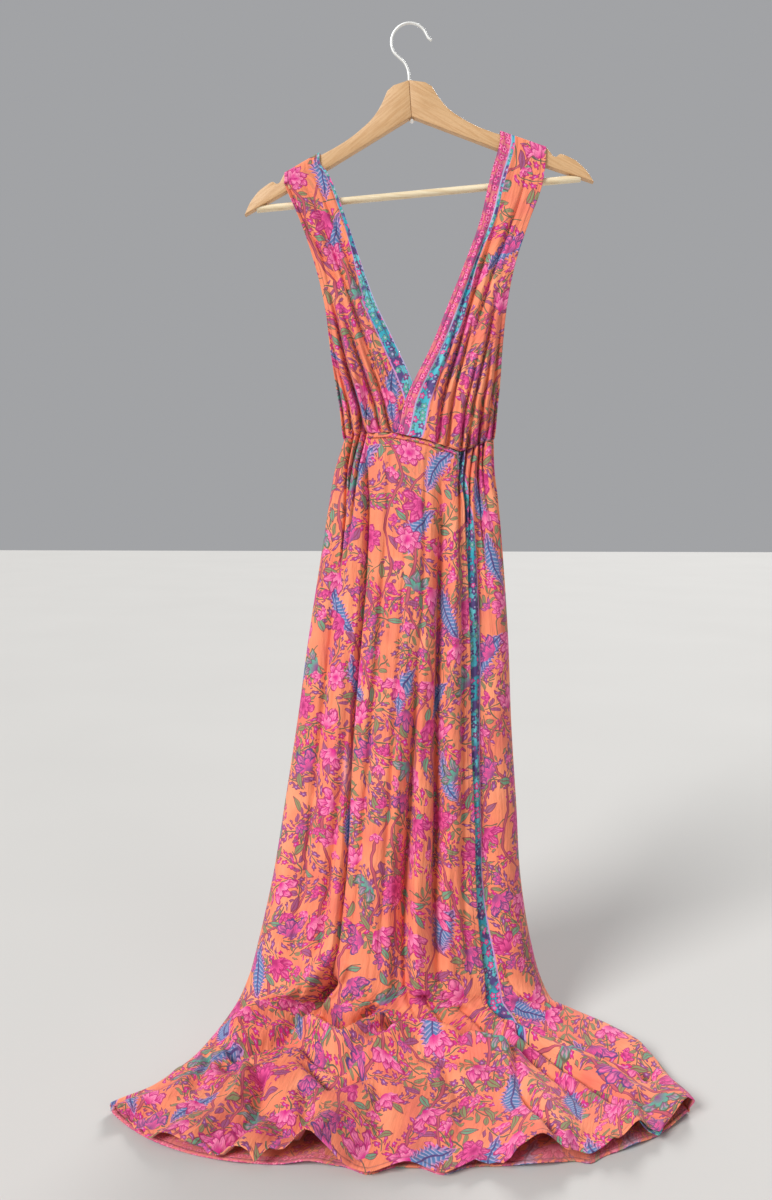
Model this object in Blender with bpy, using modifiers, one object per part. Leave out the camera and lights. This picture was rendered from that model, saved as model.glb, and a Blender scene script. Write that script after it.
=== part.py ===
"""A wrap-front maxi dress on a wooden hanger, its hem trailing on the floor.

The frame: metres, +X to the viewer's right, +Y away from the viewer, +Z up. The origin is the
point inside the top of the hook where a rail would carry it.
"""

import math
from collections import namedtuple

import bmesh
import bpy
import numpy as np
from mathutils import Matrix, Vector

# Driving dimensions
CLOTH = 0.0012
SEAM_GAP = 0.0006
FLOOR_Z = -1.3095
SKIRT_LENGTH = 1.045
HANGER_TILT = math.radians(4.4)
HANGER_AXIS_X = -0.004
ARM_DEPTH = 0.012
ARM_EDGE_ROUND = 0.0012
WIRE_RADIUS = 0.0018
HOOK_RADIUS = 0.0230
BAR_RADIUS = 0.0045
BAR_HALF_LENGTH = 0.2075
BAR_DROP = 0.2095
CLEARANCE = 0.0003
PIPING_RADIUS = 0.0013
PIPING_DROP = 0.005

# Skirt lines, a row for each level down the cloth from the waist seam
SkirtRow = namedtuple(
    "SkirtRow", "drop left left_y right right_y seam_z bow lean front back"
)
SKIRT_ROWS = (
    SkirtRow(0.000, -0.0820, -0.006, 0.1130, -0.006, -0.5205, 0.000, 0, 0.024, 0.020),
    SkirtRow(0.040, -0.0945, -0.006, 0.1145, -0.006, -0.5600, 0.000, 0, 0.030, 0.026),
    SkirtRow(0.080, -0.1015, -0.007, 0.1195, -0.007, -0.5990, 0.000, 0, 0.035, 0.030),
    SkirtRow(0.160, -0.1140, -0.008, 0.1270, -0.008, -0.6780, 0.000, 0, 0.042, 0.034),
    SkirtRow(0.267, -0.1310, -0.010, 0.1350, -0.010, -0.7850, 0.000, 0, 0.049, 0.036),
    SkirtRow(0.375, -0.1460, -0.012, 0.1400, -0.012, -0.8930, 0.000, 0, 0.054, 0.038),
    SkirtRow(0.485, -0.1635, -0.014, 0.1480, -0.014, -1.0030, 0.000, 0, 0.060, 0.038),
    SkirtRow(0.598, -0.1820, -0.018, 0.1560, -0.018, -1.1140, 0.000, 2, 0.066, 0.037),
    SkirtRow(0.680, -0.2000, -0.023, 0.1700, -0.021, -1.1950, 0.003, 6, 0.070, 0.034),
    SkirtRow(0.735, -0.2130, -0.027, 0.1840, -0.020, -1.2460, 0.012, 18, 0.070, 0.028),
    SkirtRow(0.790, -0.2290, -0.036, 0.2050, -0.018, -1.2860, 0.034, 45, 0.062, 0.017),
    SkirtRow(0.840, -0.2410, -0.064, 0.2380, -0.034, -1.3010, 0.058, 72, 0.046, 0.007),
    SkirtRow(0.890, -0.2520, -0.105, 0.2780, -0.064, -1.3040, 0.072, 88, 0.034, 0.0045),
    SkirtRow(0.940, -0.2670, -0.150, 0.3110, -0.100, -1.3042, 0.082, 90, 0.026, 0.0042),
    SkirtRow(0.990, -0.2960, -0.200, 0.3270, -0.152, -1.3042, 0.090, 90, 0.019, 0.0042),
    SkirtRow(1.045, -0.3370, -0.243, 0.3360, -0.213, -1.3042, 0.090, 90, 0.010, 0.0042),
)
BOW_POWER = 4.0
SIDE_START = 0.88
FRONT_SIDE_ROUND = 0.55
BACK_SIDE_ROUND = 0.80

# Lines down the skirt front, as shares of its width from -1 at the left seam to 1 at the right
FrontLine = namedtuple("FrontLine", "drop crease valley edge")
FRONT_LINES = (
    FrontLine(0.000, -0.700, 0.380, 0.540),
    FrontLine(0.080, -0.600, 0.381, 0.631),
    FrontLine(0.160, -0.560, 0.363, 0.654),
    FrontLine(0.375, -0.540, 0.366, 0.685),
    FrontLine(0.598, -0.472, 0.371, 0.710),
    FrontLine(0.735, -0.500, 0.330, 0.665),
    FrontLine(0.790, -0.600, 0.290, 0.585),
    FrontLine(0.890, -0.800, 0.250, 0.520),
    FrontLine(0.990, -0.860, 0.320, 0.700),
    FrontLine(1.045, -0.880, 0.400, 0.800),
)

# Long folds of the skirt front: a ridge stands out where height is positive
LongFold = namedtuple(
    "LongFold", "start end share_start share_end half_width height"
)
FRONT_FOLDS = (
    LongFold(0.00, 0.62, -0.84, -0.72, 0.016, 0.005),
    LongFold(0.30, 0.80, -0.22, -0.16, 0.030, 0.006),
    LongFold(0.05, 0.55, 0.02, 0.05, 0.026, 0.004),
    LongFold(0.40, 0.84, 0.09, 0.02, 0.014, -0.013),
    LongFold(0.42, 0.82, 0.24, 0.18, 0.016, 0.007),
    LongFold(0.02, 0.70, 0.51, 0.53, 0.015, 0.009),
    LongFold(0.01, 0.30, 0.86, 0.82, 0.010, -0.006),
    LongFold(0.02, 0.72, 0.93, 0.90, 0.016, 0.004),
)
BACK_FOLDS = (
    LongFold(0.02, 0.74, -0.76, -0.66, 0.020, 0.008),
    LongFold(0.02, 0.72, -0.52, -0.46, 0.016, -0.007),
    LongFold(0.02, 0.76, -0.22, -0.17, 0.021, 0.010),
    LongFold(0.02, 0.70, 0.04, 0.06, 0.016, -0.008),
    LongFold(0.02, 0.74, 0.30, 0.27, 0.020, 0.009),
    LongFold(0.04, 0.72, 0.56, 0.52, 0.016, -0.007),
    LongFold(0.02, 0.72, 0.80, 0.74, 0.018, 0.007),
)

# Folds where the front lies on the floor, each a bent line from one end to the other
Roll = namedtuple(
    "Roll", "share drop share_mid drop_mid share_end drop_end half_width height"
)
ROLLS = (
    Roll(-0.58, 0.700, -0.70, 0.800, -0.80, 0.875, 0.024, 0.018),
    Roll(-0.44, 0.730, -0.52, 0.850, -0.78, 0.925, 0.015, -0.015),
    Roll(-0.54, 0.835, -0.30, 0.892, -0.10, 0.850, 0.013, 0.014),
    Roll(-0.42, 0.815, -0.28, 0.852, -0.15, 0.820, 0.017, -0.016),
    Roll(-0.46, 0.895, -0.32, 0.935, -0.20, 0.925, 0.014, -0.011),
    Roll(-0.20, 0.905, 0.02, 0.878, 0.34, 0.915, 0.024, 0.018),
    Roll(-0.06, 0.830, 0.14, 0.842, 0.34, 0.858, 0.018, -0.010),
    Roll(0.02, 0.930, 0.20, 0.936, 0.36, 0.950, 0.014, 0.007),
    Roll(0.46, 0.870, 0.37, 0.930, 0.50, 1.020, 0.018, 0.010),
    Roll(0.55, 0.860, 0.62, 0.925, 0.74, 0.990, 0.018, 0.011),
    Roll(0.66, 0.880, 0.74, 0.930, 0.84, 0.970, 0.014, -0.007),
    Roll(0.87, 0.770, 0.88, 0.850, 0.88, 0.930, 0.024, 0.008),
    Roll(-0.56, 0.960, -0.46, 0.985, -0.37, 1.015, 0.012, -0.010),
    Roll(-0.80, 0.960, -0.72, 0.990, -0.70, 1.040, 0.014, -0.005),
)

# Flutes at the hem: each an arch that fades up the skirt and pushes the hem forward
Flute = namedtuple("Flute", "share half_share reach height forward")
FLUTES = (
    Flute(-0.93, 0.045, 0.055, 0.005, 0.000),
    Flute(-0.68, 0.075, 0.080, 0.013, 0.004),
    Flute(-0.46, 0.070, 0.065, 0.011, 0.004),
    Flute(-0.25, 0.075, 0.095, 0.024, 0.002),
    Flute(-0.08, 0.060, 0.050, -0.001, 0.012),
    Flute(0.03, 0.040, 0.045, 0.008, 0.004),
    Flute(0.13, 0.060, 0.050, -0.001, 0.012),
    Flute(0.40, 0.090, 0.090, 0.021, 0.006),
    Flute(0.55, 0.040, 0.050, 0.000, 0.008),
    Flute(0.69, 0.055, 0.070, 0.016, 0.002),
    Flute(0.86, 0.070, 0.075, 0.019, 0.002),
)
BACK_FLUTE_SHARE = 0.30

# Gathers drawn in by the waist elastic
GATHER_FADE = 0.060
SIDE_GATHERS = 3
BACK_GATHERS = 8
GATHER_HEIGHT = 0.0024
FLAT_LEFT = -0.700
FLAT_RIGHT = 0.540

# The waist seam's height along the front, by X
WAIST_SEAM_X = (-0.0820, -0.0570, -0.0200, 0.0250, 0.0690, 0.0900, 0.1130)
WAIST_SEAM_Z = (-0.5205, -0.5135, -0.5125, -0.5220, -0.5370, -0.5300, -0.5205)
WAIST_SEAM_FADE = 0.060

# The right front's border edge runs this far under the left front's free edge
UNDERLAP = 0.028
UNDER_STEP = 0.0050
UNDER_EASE = 0.022

# The strap's line over the hanger's arm: distance in front of the arm's middle, and above its top
OVER_ARM_Y = (0.0003, 0.0036, 0.0064, 0.0076, 0.0080)
OVER_ARM_Z = (0.0013, 0.0013, 0.0006, -0.0018, -0.0090)

# Bodice panels, a row for each level: the armhole edge and the neck edge
BodiceRow = namedtuple("BodiceRow", "down arm_x arm_z neck_x neck_z arm_y neck_y")
LEFT_BODICE = (
    BodiceRow(0.10, -0.1580, -0.1950, -0.1020, -0.1830, -0.0080, -0.0085),
    BodiceRow(0.22, -0.1370, -0.2440, -0.0810, -0.2330, -0.0095, -0.0115),
    BodiceRow(0.36, -0.1180, -0.3010, -0.0590, -0.2960, -0.0105, -0.0140),
    BodiceRow(0.50, -0.1060, -0.3520, -0.0410, -0.3450, -0.0105, -0.0165),
    BodiceRow(0.64, -0.1000, -0.4030, -0.0160, -0.3960, -0.0095, -0.0190),
    BodiceRow(0.80, -0.0920, -0.4550, 0.0090, -0.4500, -0.0080, -0.0210),
    BodiceRow(0.92, -0.0855, -0.4950, 0.0230, -0.4900, -0.0065, -0.0225),
    BodiceRow(1.00, -0.0820, -0.5200, 0.0330, -0.5150, -0.0060, -0.0230),
)
RIGHT_BODICE = (
    BodiceRow(0.10, 0.1720, -0.1940, 0.1060, -0.1880, -0.0080, -0.0085),
    BodiceRow(0.22, 0.1560, -0.2430, 0.0930, -0.2440, -0.0095, -0.0120),
    BodiceRow(0.36, 0.1380, -0.2980, 0.0730, -0.3000, -0.0105, -0.0160),
    BodiceRow(0.50, 0.1280, -0.3500, 0.0530, -0.3500, -0.0105, -0.0200),
    BodiceRow(0.64, 0.1230, -0.4020, 0.0320, -0.4020, -0.0095, -0.0240),
    BodiceRow(0.80, 0.1200, -0.4560, 0.0050, -0.4560, -0.0080, -0.0270),
    BodiceRow(0.92, 0.1160, -0.4930, -0.0080, -0.4900, -0.0065, -0.0285),
    BodiceRow(1.00, 0.1130, -0.5210, -0.0150, -0.5140, -0.0060, -0.0285),
)
# Where each strap lies on its arm, as distances from the hanger's middle
LEFT_STRAP = (0.1670, 0.1200)
RIGHT_STRAP = (0.1660, 0.1100)
ARMHOLE_ROUND = 0.30
BACK_DEPTH_SHARE = 0.62
BACK_GATHER_SHARE = 0.2
WAIST_LAYER = 0.0026
ARMHOLE_APART = 0.0009
WAIST_GATHER_SHARE = 0.4
BODICE_GATHERS = 5
BODICE_GATHER_HEIGHT = 0.0034
STRAP_FOLD_HEIGHT = 0.0007

# The hanger's half outline, from its top middle to the tip and back along the underside
ARM_TOP = (
    (0.0000, -0.0720),
    (0.0200, -0.0765),
    (0.0285, -0.0825),
    (0.0370, -0.0980),
    (0.0490, -0.1130),
    (0.0660, -0.1260),
    (0.1680, -0.1710),
    (0.1760, -0.1800),
    (0.1860, -0.1805),
    (0.2030, -0.1890),
    (0.2150, -0.2020),
    (0.2235, -0.2165),
)
ARM_UNDER = ((0.1650, -0.1915), (0.1060, -0.1660), (0.0000, -0.1160))
ARM_SPLIT_GAP = 0.0003

# Hook: the wire's line above the arc's start, from the stem in the wood
HOOK_STEM = (
    (0.0000, -0.1185),
    (0.0000, -0.0740),
    (-0.0005, -0.0580),
    (-0.0042, -0.0485),
    (-0.0115, -0.0405),
    (-0.0185, -0.0330),
)
HOOK_CENTRE = (0.0040, -0.0248)
HOOK_TIP = ((0.0240, -0.0165), (0.0278, -0.0215), (0.0318, -0.0255))
HOOK_HEAD_RADIUS = 0.0033

COLOURS = {
    "print": (0.86, 0.24, 0.13, 1.0),
    "wood": (0.62, 0.36, 0.17, 1.0),
    "dowel": (0.80, 0.68, 0.46, 1.0),
    "steel": (0.75, 0.75, 0.74, 1.0),
}


def smooth(share):
    """An eased 0 to 1."""
    share = np.clip(share, 0.0, 1.0)
    return share * share * (3.0 - 2.0 * share)


def through(knots, values, at):
    """A smooth curve through the values at the knots, read at the places given."""
    knots = np.asarray(knots, float)
    values = np.asarray(values, float)
    at = np.clip(np.asarray(at, float), knots[0], knots[-1])
    slopes = np.gradient(values, knots)
    index = np.clip(np.searchsorted(knots, at) - 1, 0, len(knots) - 2)
    span = knots[index + 1] - knots[index]
    t = (at - knots[index]) / span
    rise = values[index + 1] - values[index]
    a = slopes[index] * span - rise
    b = rise - slopes[index + 1] * span
    return values[index] + t * rise + t * (1.0 - t) * ((1.0 - t) * a + t * b)


def column(rows, name):
    return [getattr(row, name) for row in rows]


def skirt_at(drop, name):
    return through(column(SKIRT_ROWS, "drop"), column(SKIRT_ROWS, name), drop)


def line_at(drop, name):
    return through(column(FRONT_LINES, "drop"), column(FRONT_LINES, name), drop)


def half_width(drop):
    return (skirt_at(drop, "right") - skirt_at(drop, "left")) / 2.0


def skirt_base(share, drop, side):
    """The skirt without its folds: side is 1 for the front and -1 for the back."""
    depth = skirt_at(drop, "front" if side > 0 else "back")
    corner = depth * (FRONT_SIDE_ROUND if side > 0 else BACK_SIDE_ROUND)
    lean = np.radians(skirt_at(drop, "lean"))
    away = np.abs(share)
    inner = np.clip(away / SIDE_START, 0.0, 1.0)
    turn = np.clip((away - SIDE_START) / (1.0 - SIDE_START), 0.0, 1.0) * math.pi / 2.0
    reach = half_width(drop)
    across = np.where(
        away < SIDE_START, (reach - corner) * inner, reach - corner + corner * np.sin(turn)
    )
    bulge = (1.0 - inner**2) ** 1.5
    out = np.where(away < SIDE_START, corner + (depth - corner) * bulge, corner * np.cos(turn))
    place = np.sign(share) * across / reach
    left_y = skirt_at(drop, "left_y")
    right_y = skirt_at(drop, "right_y")
    bow = skirt_at(drop, "bow") * (1.0 - np.abs(place) ** BOW_POWER)
    x = (skirt_at(drop, "left") + skirt_at(drop, "right")) / 2.0 + place * reach
    y = left_y + (right_y - left_y) * (place + 1.0) / 2.0 - bow - side * out * np.cos(lean)
    z = skirt_at(drop, "seam_z") + side * out * np.sin(lean)
    if side > 0:
        seam = np.interp(x, WAIST_SEAM_X, WAIST_SEAM_Z) - SKIRT_ROWS[0].seam_z
        z = z + seam * np.exp(-((drop / WAIST_SEAM_FADE) ** 2))
    return np.stack([x, y, z], axis=-1)


def outward(base, share, drop, side):
    """Unit normals that point out of the garment, from small steps over the base."""
    step = 1e-4
    along = base(share + step, drop, side) - base(share - step, drop, side)
    down = base(share, drop + step, side) - base(share, drop - step, side)
    normal = np.cross(down, along) * side
    return normal / np.linalg.norm(normal, axis=-1, keepdims=True)


def ridge(offset):
    """A soft ridge profile, 1 on its line and 0 beyond one half width or so."""
    return np.exp(-1.6 * offset**2)


def long_folds(share, drop, folds):
    lift = np.zeros(np.shape(share))
    for fold in folds:
        along = np.clip((drop - fold.start) / (fold.end - fold.start), 0.0, 1.0)
        line = fold.share_start + (fold.share_end - fold.share_start) * along
        offset = (share - line) * half_width(drop) / fold.half_width
        swell = np.sin(math.pi * along) ** 0.6
        lift += fold.height * swell * ridge(offset)
    return lift


def sharp_crease(share, drop):
    """The step at the left of the skirt front, where the side part falls over the middle."""
    offset = (share - line_at(drop, "crease")) * half_width(drop)
    swell = smooth(drop / 0.10) * (1.0 - smooth((drop - 0.74) / 0.10))
    outer = np.exp(-((offset / 0.020) ** 2)) * (offset < 0.0)
    inner = np.exp(-((offset / 0.022) ** 2)) * (offset >= 0.0)
    step = smooth(0.5 - offset / 0.006)
    return swell * (0.0035 * outer * step - 0.0035 * inner * (1.0 - step))


def deep_valley(share, drop):
    offset = (share - line_at(drop, "valley")) * half_width(drop)
    swell = smooth((drop - 0.01) / 0.12) * (1.0 - smooth((drop - 0.55) / 0.25))
    return -0.014 * swell * np.exp(-((offset / 0.0085) ** 2))


def line_distance(share, drop, start, end):
    """The distance along the cloth, in metres, from a line between two (share, drop) places."""
    reach = half_width(drop)
    across, down = (share - start[0]) * reach, drop - start[1]
    run, fall = (end[0] - start[0]) * reach, end[1] - start[1]
    along = np.clip((across * run + down * fall) / (run * run + fall * fall), 0.0, 1.0)
    return np.hypot(across - along * run, down - along * fall)


def rolls(share, drop):
    lift = np.zeros(np.shape(share))
    for roll in ROLLS:
        start, middle = (roll.share, roll.drop), (roll.share_mid, roll.drop_mid)
        end = (roll.share_end, roll.drop_end)
        apart = np.minimum(
            line_distance(share, drop, start, middle), line_distance(share, drop, middle, end)
        )
        lift += roll.height * ridge(apart / roll.half_width)
    return lift


def flutes(share, drop):
    """(lift, forward push) of the hem's arches."""
    lift = np.zeros(np.shape(share))
    forward = np.zeros(np.shape(share))
    for f in FLUTES:
        arch = ridge((share - f.share) / f.half_share)
        fade = 1.0 - smooth((SKIRT_LENGTH - drop) / f.reach)
        lift += f.height * arch * fade
        forward += f.forward * arch * fade
    return lift, forward


def gathers(along, count):
    """A run of rounded gathers from 0 to 1 that dies away at both ends."""
    return -np.cos(2.0 * math.pi * count * along) * np.sin(math.pi * along) ** 0.5


def waist_gathers(share, drop, side):
    height = GATHER_HEIGHT * np.exp(-((drop / GATHER_FADE) ** 2))
    if side < 0:
        return height * gathers(np.clip((share + 1.0) / 2.0, 0.0, 1.0), BACK_GATHERS)
    left = np.clip((share + 1.0) / (FLAT_LEFT + 1.0), 0.0, 1.0)
    right = np.clip((1.0 - share) / (1.0 - FLAT_RIGHT), 0.0, 1.0)
    return height * (gathers(left, SIDE_GATHERS) + gathers(right, SIDE_GATHERS))


def near_seam(share):
    """1 over a panel and 0 on its side seams, where two panels have to meet."""
    return smooth((1.0 - np.abs(share)) / 0.10)


def skirt_front_surface(share, drop, sink=0.0):
    base = skirt_base(share, drop, 1)
    normal = outward(skirt_base, share, drop, 1)
    lift = long_folds(share, drop, FRONT_FOLDS) + sharp_crease(share, drop)
    lift = lift + deep_valley(share, drop) + rolls(share, drop)
    lift = lift * near_seam(share) + waist_gathers(share, drop, 1)
    arch, forward = flutes(share, drop)
    lift = lift + arch * near_seam(share) - sink
    point = base + normal * lift[..., None]
    point[..., 1] -= forward * near_seam(share)
    return point


def skirt_back_surface(share, drop):
    base = skirt_base(share, drop, -1)
    normal = outward(skirt_base, share, drop, -1)
    hanging = 1.0 - smooth((drop - 0.62) / 0.12)
    lift = long_folds(share, drop, BACK_FOLDS) * hanging * near_seam(share)
    lift = lift + waist_gathers(share, drop, -1)
    arch, forward = flutes(share, drop)
    point = base + normal * lift[..., None]
    point[..., 2] += BACK_FLUTE_SHARE * arch * near_seam(share)
    point[..., 1] -= forward * near_seam(share)
    return point


def hanger_point(across, up):
    """A point of the hanger's own outline, as X and Z in the frame."""
    across = across + HANGER_AXIS_X
    turn, rise = math.cos(HANGER_TILT), math.sin(HANGER_TILT)
    return across * turn - up * rise, across * rise + up * turn


def arm_top(across):
    places = [p[0] for p in ARM_TOP]
    heights = [p[1] for p in ARM_TOP]
    return np.interp(np.abs(across), places, heights)


def waist_seam(x, side):
    """The Y and Z of the skirt's top edge at the given X."""
    share = np.linspace(-1.0, 1.0, 401)
    top = (skirt_front_surface if side > 0 else skirt_back_surface)(share, 0.0 * share)
    at = np.maximum.accumulate(top[:, 0])
    return np.interp(x, at, top[:, 1]), np.interp(x, at, top[:, 2])


def bodice_surface(across, down, rows, strap, hand, side):
    """A bodice panel: across is 0 at the armhole and 1 at the neck, hand is -1 on the left.

    Its first levels pass over the hanger's arm, and the rest hang from there to the waist.
    """
    depth_share = 1.0 if side > 0 else BACK_DEPTH_SHARE
    knots = list(np.linspace(0.0, 0.05, len(OVER_ARM_Y))) + column(rows, "down")
    edges = {}
    for name, place in (("arm", strap[0]), ("neck", strap[1])):
        top_x, top_z = hanger_point(hand * place, float(arm_top(place)))
        xs = [top_x] * len(OVER_ARM_Y) + column(rows, name + "_x")
        zs = [top_z + rise for rise in OVER_ARM_Z] + column(rows, name + "_z")
        fall = [-y for y in OVER_ARM_Y]
        ys = fall + [fall[-1] + (y - fall[-1]) * depth_share for y in column(rows, name + "_y")]
        edges[name] = [through(knots, values, down) for values in (xs, ys, zs)]
    arm, neck = edges["arm"], edges["neck"]
    x = arm[0] + (neck[0] - arm[0]) * across
    z = arm[2] + (neck[2] - arm[2]) * across
    rounding = np.sin(np.clip(across / ARMHOLE_ROUND, 0.0, 1.0) * math.pi / 2.0)
    hang = smooth((down - 0.10) / 0.5)
    y = arm[1] + (neck[1] - arm[1]) * (across * (1.0 - hang) + rounding * hang)
    fan = down**1.2
    wave = gathers(across, BODICE_GATHERS)
    height = STRAP_FOLD_HEIGHT + (BODICE_GATHER_HEIGHT - STRAP_FOLD_HEIGHT) * fan
    lift = height * np.where(down < 0.06, 0.5 * (1.0 + wave), wave)
    low = smooth((down - 0.80) / 0.20)
    lift = lift * smooth((down - 0.010) / 0.02) * (1.0 - (1.0 - WAIST_GATHER_SHARE) * low)
    if side < 0:
        lift = lift * (1.0 - (1.0 - BACK_GATHER_SHARE) * smooth((down - 0.45) / 0.35))
    seam_y, seam_z = waist_seam(x, side)
    seam_y = side * seam_y - ARMHOLE_APART - hand * WAIST_LAYER * across
    y = y + (seam_y - y) * low - lift
    z = z + (seam_z + SEAM_GAP - z) * smooth((down - 0.86) / 0.14)
    return np.stack([x, side * y, z], axis=-1)


def material(name):
    """A plain finish in one of the object's colours."""
    made = bpy.data.materials.get(name) or bpy.data.materials.new(name)
    made.use_nodes = True
    shader = made.node_tree.nodes["Principled BSDF"]
    shader.inputs["Base Color"].default_value = COLOURS[name]
    shader.inputs["Roughness"].default_value = 0.25 if name == "steel" else 0.7
    shader.inputs["Metallic"].default_value = 1.0 if name == "steel" else 0.0
    made.diffuse_color = COLOURS[name]
    return made


def place(name, bm, finish, collection):
    """The bmesh as a named, smooth-shaded object in the collection."""
    mesh = bpy.data.meshes.new(name)
    bm.to_mesh(mesh)
    bm.free()
    mesh.shade_smooth()
    mesh.materials.append(material(finish))
    made = bpy.data.objects.new(name, mesh)
    collection.objects.link(made)
    return made


def cloth_panel(name, surface, across, down, collection):
    """A cloth wall: a grid laid on the surface at the places given, thickened both ways."""
    bm = bmesh.new()
    bmesh.ops.create_grid(
        bm, x_segments=len(across) - 1, y_segments=len(down) - 1, size=0.5
    )
    columns = np.rint([(v.co.x + 0.5) * (len(across) - 1) for v in bm.verts]).astype(int)
    levels = np.rint([(v.co.y + 0.5) * (len(down) - 1) for v in bm.verts]).astype(int)
    points = surface(np.asarray(across)[columns], np.asarray(down)[levels])
    for vert, point in zip(bm.verts, points):
        vert.co = Vector(point)
    made = place(name, bm, "print", collection)
    wall = made.modifiers.new("Wall", "SOLIDIFY")
    wall.thickness = CLOTH
    wall.offset = 0.0
    wall.use_even_offset = True
    wall.use_quality_normals = True
    return made


def spread(*stretches):
    """Places from several stretches, each (start, end, steps), without doubles."""
    found = []
    for start, end, steps in stretches:
        found += list(np.linspace(start, end, steps + 1))
    return np.array(sorted({round(float(value), 6) for value in found}))


def between_lines(place_on, drop, names, knots):
    """Turns a panel's own places into shares of the skirt, so its columns follow the folds."""
    lines = [line_at(drop, name) if isinstance(name, str) else name + 0.0 * drop for name in names]
    share = np.zeros(np.shape(place_on))
    for i in range(len(knots) - 1):
        t = (place_on - knots[i]) / (knots[i + 1] - knots[i])
        inside = (t >= 0.0) & (t <= 1.0)
        share = np.where(inside, lines[i] + (lines[i + 1] - lines[i]) * t, share)
    return share


def seam_share(drop, side):
    """The share at a side seam, short of 1 by half the gap between two panels."""
    depth = skirt_at(drop, "front" if side > 0 else "back")
    corner = depth * (FRONT_SIDE_ROUND if side > 0 else BACK_SIDE_ROUND)
    rate = corner * math.pi / 2.0 / (1.0 - SIDE_START)
    return 1.0 - SEAM_GAP / 2.0 / rate


def skirt_front_panel(place_on, drop):
    """The left and middle front, from the left seam to its free edge."""
    share = between_lines(
        place_on, drop, (-1.0, -SIDE_START, "crease", "valley", "edge"), (0.0, 0.16, 0.34, 0.78, 1.0)
    )
    share = np.maximum(share, -seam_share(drop, 1))
    return skirt_front_surface(share, drop)


def skirt_under_panel(place_on, drop):
    """The right front, from its border under the free edge to the right seam."""
    edge = line_at(drop, "edge")
    start = edge - UNDERLAP / half_width(drop)
    share = np.where(
        place_on < 0.4,
        start + (edge - start) * place_on / 0.4,
        edge + (1.0 - edge) * (place_on - 0.4) / 0.6,
    )
    share = np.minimum(share, seam_share(drop, 1))
    beyond = (share - edge) * half_width(drop)
    sink = UNDER_STEP * (1.0 - smooth((beyond - 0.004) / UNDER_EASE))
    return skirt_front_surface(share, drop, sink)


def skirt_back_panel(share, drop):
    limit = seam_share(drop, -1)
    return skirt_back_surface(np.clip(share, -limit, limit), drop)


def make_skirt(collection):
    levels = spread(
        (0.0, 0.12, 5), (0.12, 0.68, 7), (0.68, 0.86, 8), (0.86, SKIRT_LENGTH, 13)
    )
    front = spread(
        (0.0, 0.16, 4), (0.16, 0.34, 8), (0.34, 0.355, 2), (0.355, 0.78, 14), (0.78, 1.0, 10)
    )
    cloth_panel("skirt_front", skirt_front_panel, front, levels, collection)
    under = spread((0.0, 0.4, 3), (0.4, 0.8, 7), (0.8, 1.0, 4))
    cloth_panel("skirt_front_right", skirt_under_panel, under, levels, collection)
    back = spread((-1.0, -SIDE_START, 3), (-SIDE_START, SIDE_START, 26), (SIDE_START, 1.0, 3))
    cloth_panel("skirt_back", skirt_back_panel, back, levels, collection)


def make_bodice(collection):
    levels = spread((0.0, 0.05, 4), (0.05, 0.86, 8), (0.86, 1.0, 2))
    panels = (
        ("bodice_front_left", LEFT_BODICE, LEFT_STRAP, -1, 1, 20),
        ("bodice_front_right", RIGHT_BODICE, RIGHT_STRAP, 1, 1, 20),
        ("bodice_back_left", LEFT_BODICE, LEFT_STRAP, -1, -1, 15),
        ("bodice_back_right", RIGHT_BODICE, RIGHT_STRAP, 1, -1, 15),
    )
    for name, rows, strap, hand, side, columns in panels:

        def surface(across, down, rows=rows, strap=strap, hand=hand, side=side):
            return bodice_surface(across, down, rows, strap, hand, side)

        cloth_panel(name, surface, spread((0.0, 1.0, columns)), levels, collection)


def solid_of_curve(curve, turn, collection):
    """The curve's own mesh, turned into place, with its caps welded."""
    helper = bpy.data.objects.new(curve.name, curve)
    collection.objects.link(helper)
    bpy.context.view_layer.update()
    graph = bpy.context.evaluated_depsgraph_get()
    mesh = bpy.data.meshes.new_from_object(helper.evaluated_get(graph))
    bm = bmesh.new()
    bm.from_mesh(mesh)
    bmesh.ops.transform(bm, matrix=turn, verts=bm.verts)
    bmesh.ops.remove_doubles(bm, verts=bm.verts, dist=1e-6)
    bmesh.ops.recalc_face_normals(bm, faces=bm.faces)
    bpy.data.objects.remove(helper)
    return bm


def wire(name, points, radius, finish, collection, sides=2):
    """A round bar along the points."""
    curve = bpy.data.curves.new(name + "_line", "CURVE")
    curve.dimensions = "3D"
    curve.bevel_depth = radius
    curve.bevel_resolution = sides
    curve.use_fill_caps = True
    line = curve.splines.new("POLY")
    line.points.add(len(points) - 1)
    for spot, point in zip(line.points, points):
        spot.co = (*point, 1.0)
    bm = solid_of_curve(curve, Matrix.Identity(4), collection)
    return place(name, bm, finish, collection)


def cut(target, cutter, helpers, operation="DIFFERENCE"):
    """Cuts the cutter from the target, or joins it on."""
    for old in list(cutter.users_collection):
        old.objects.unlink(cutter)
    helpers.objects.link(cutter)
    cutter.hide_render = True
    cutter.display_type = "WIRE"
    boolean = target.modifiers.new("Cut", "BOOLEAN")
    boolean.operation = operation
    boolean.object = cutter
    boolean.solver = "EXACT"


def hanger_line(points):
    return [(x, 0.0, z) for x, z in (hanger_point(*p) for p in points)]


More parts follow.
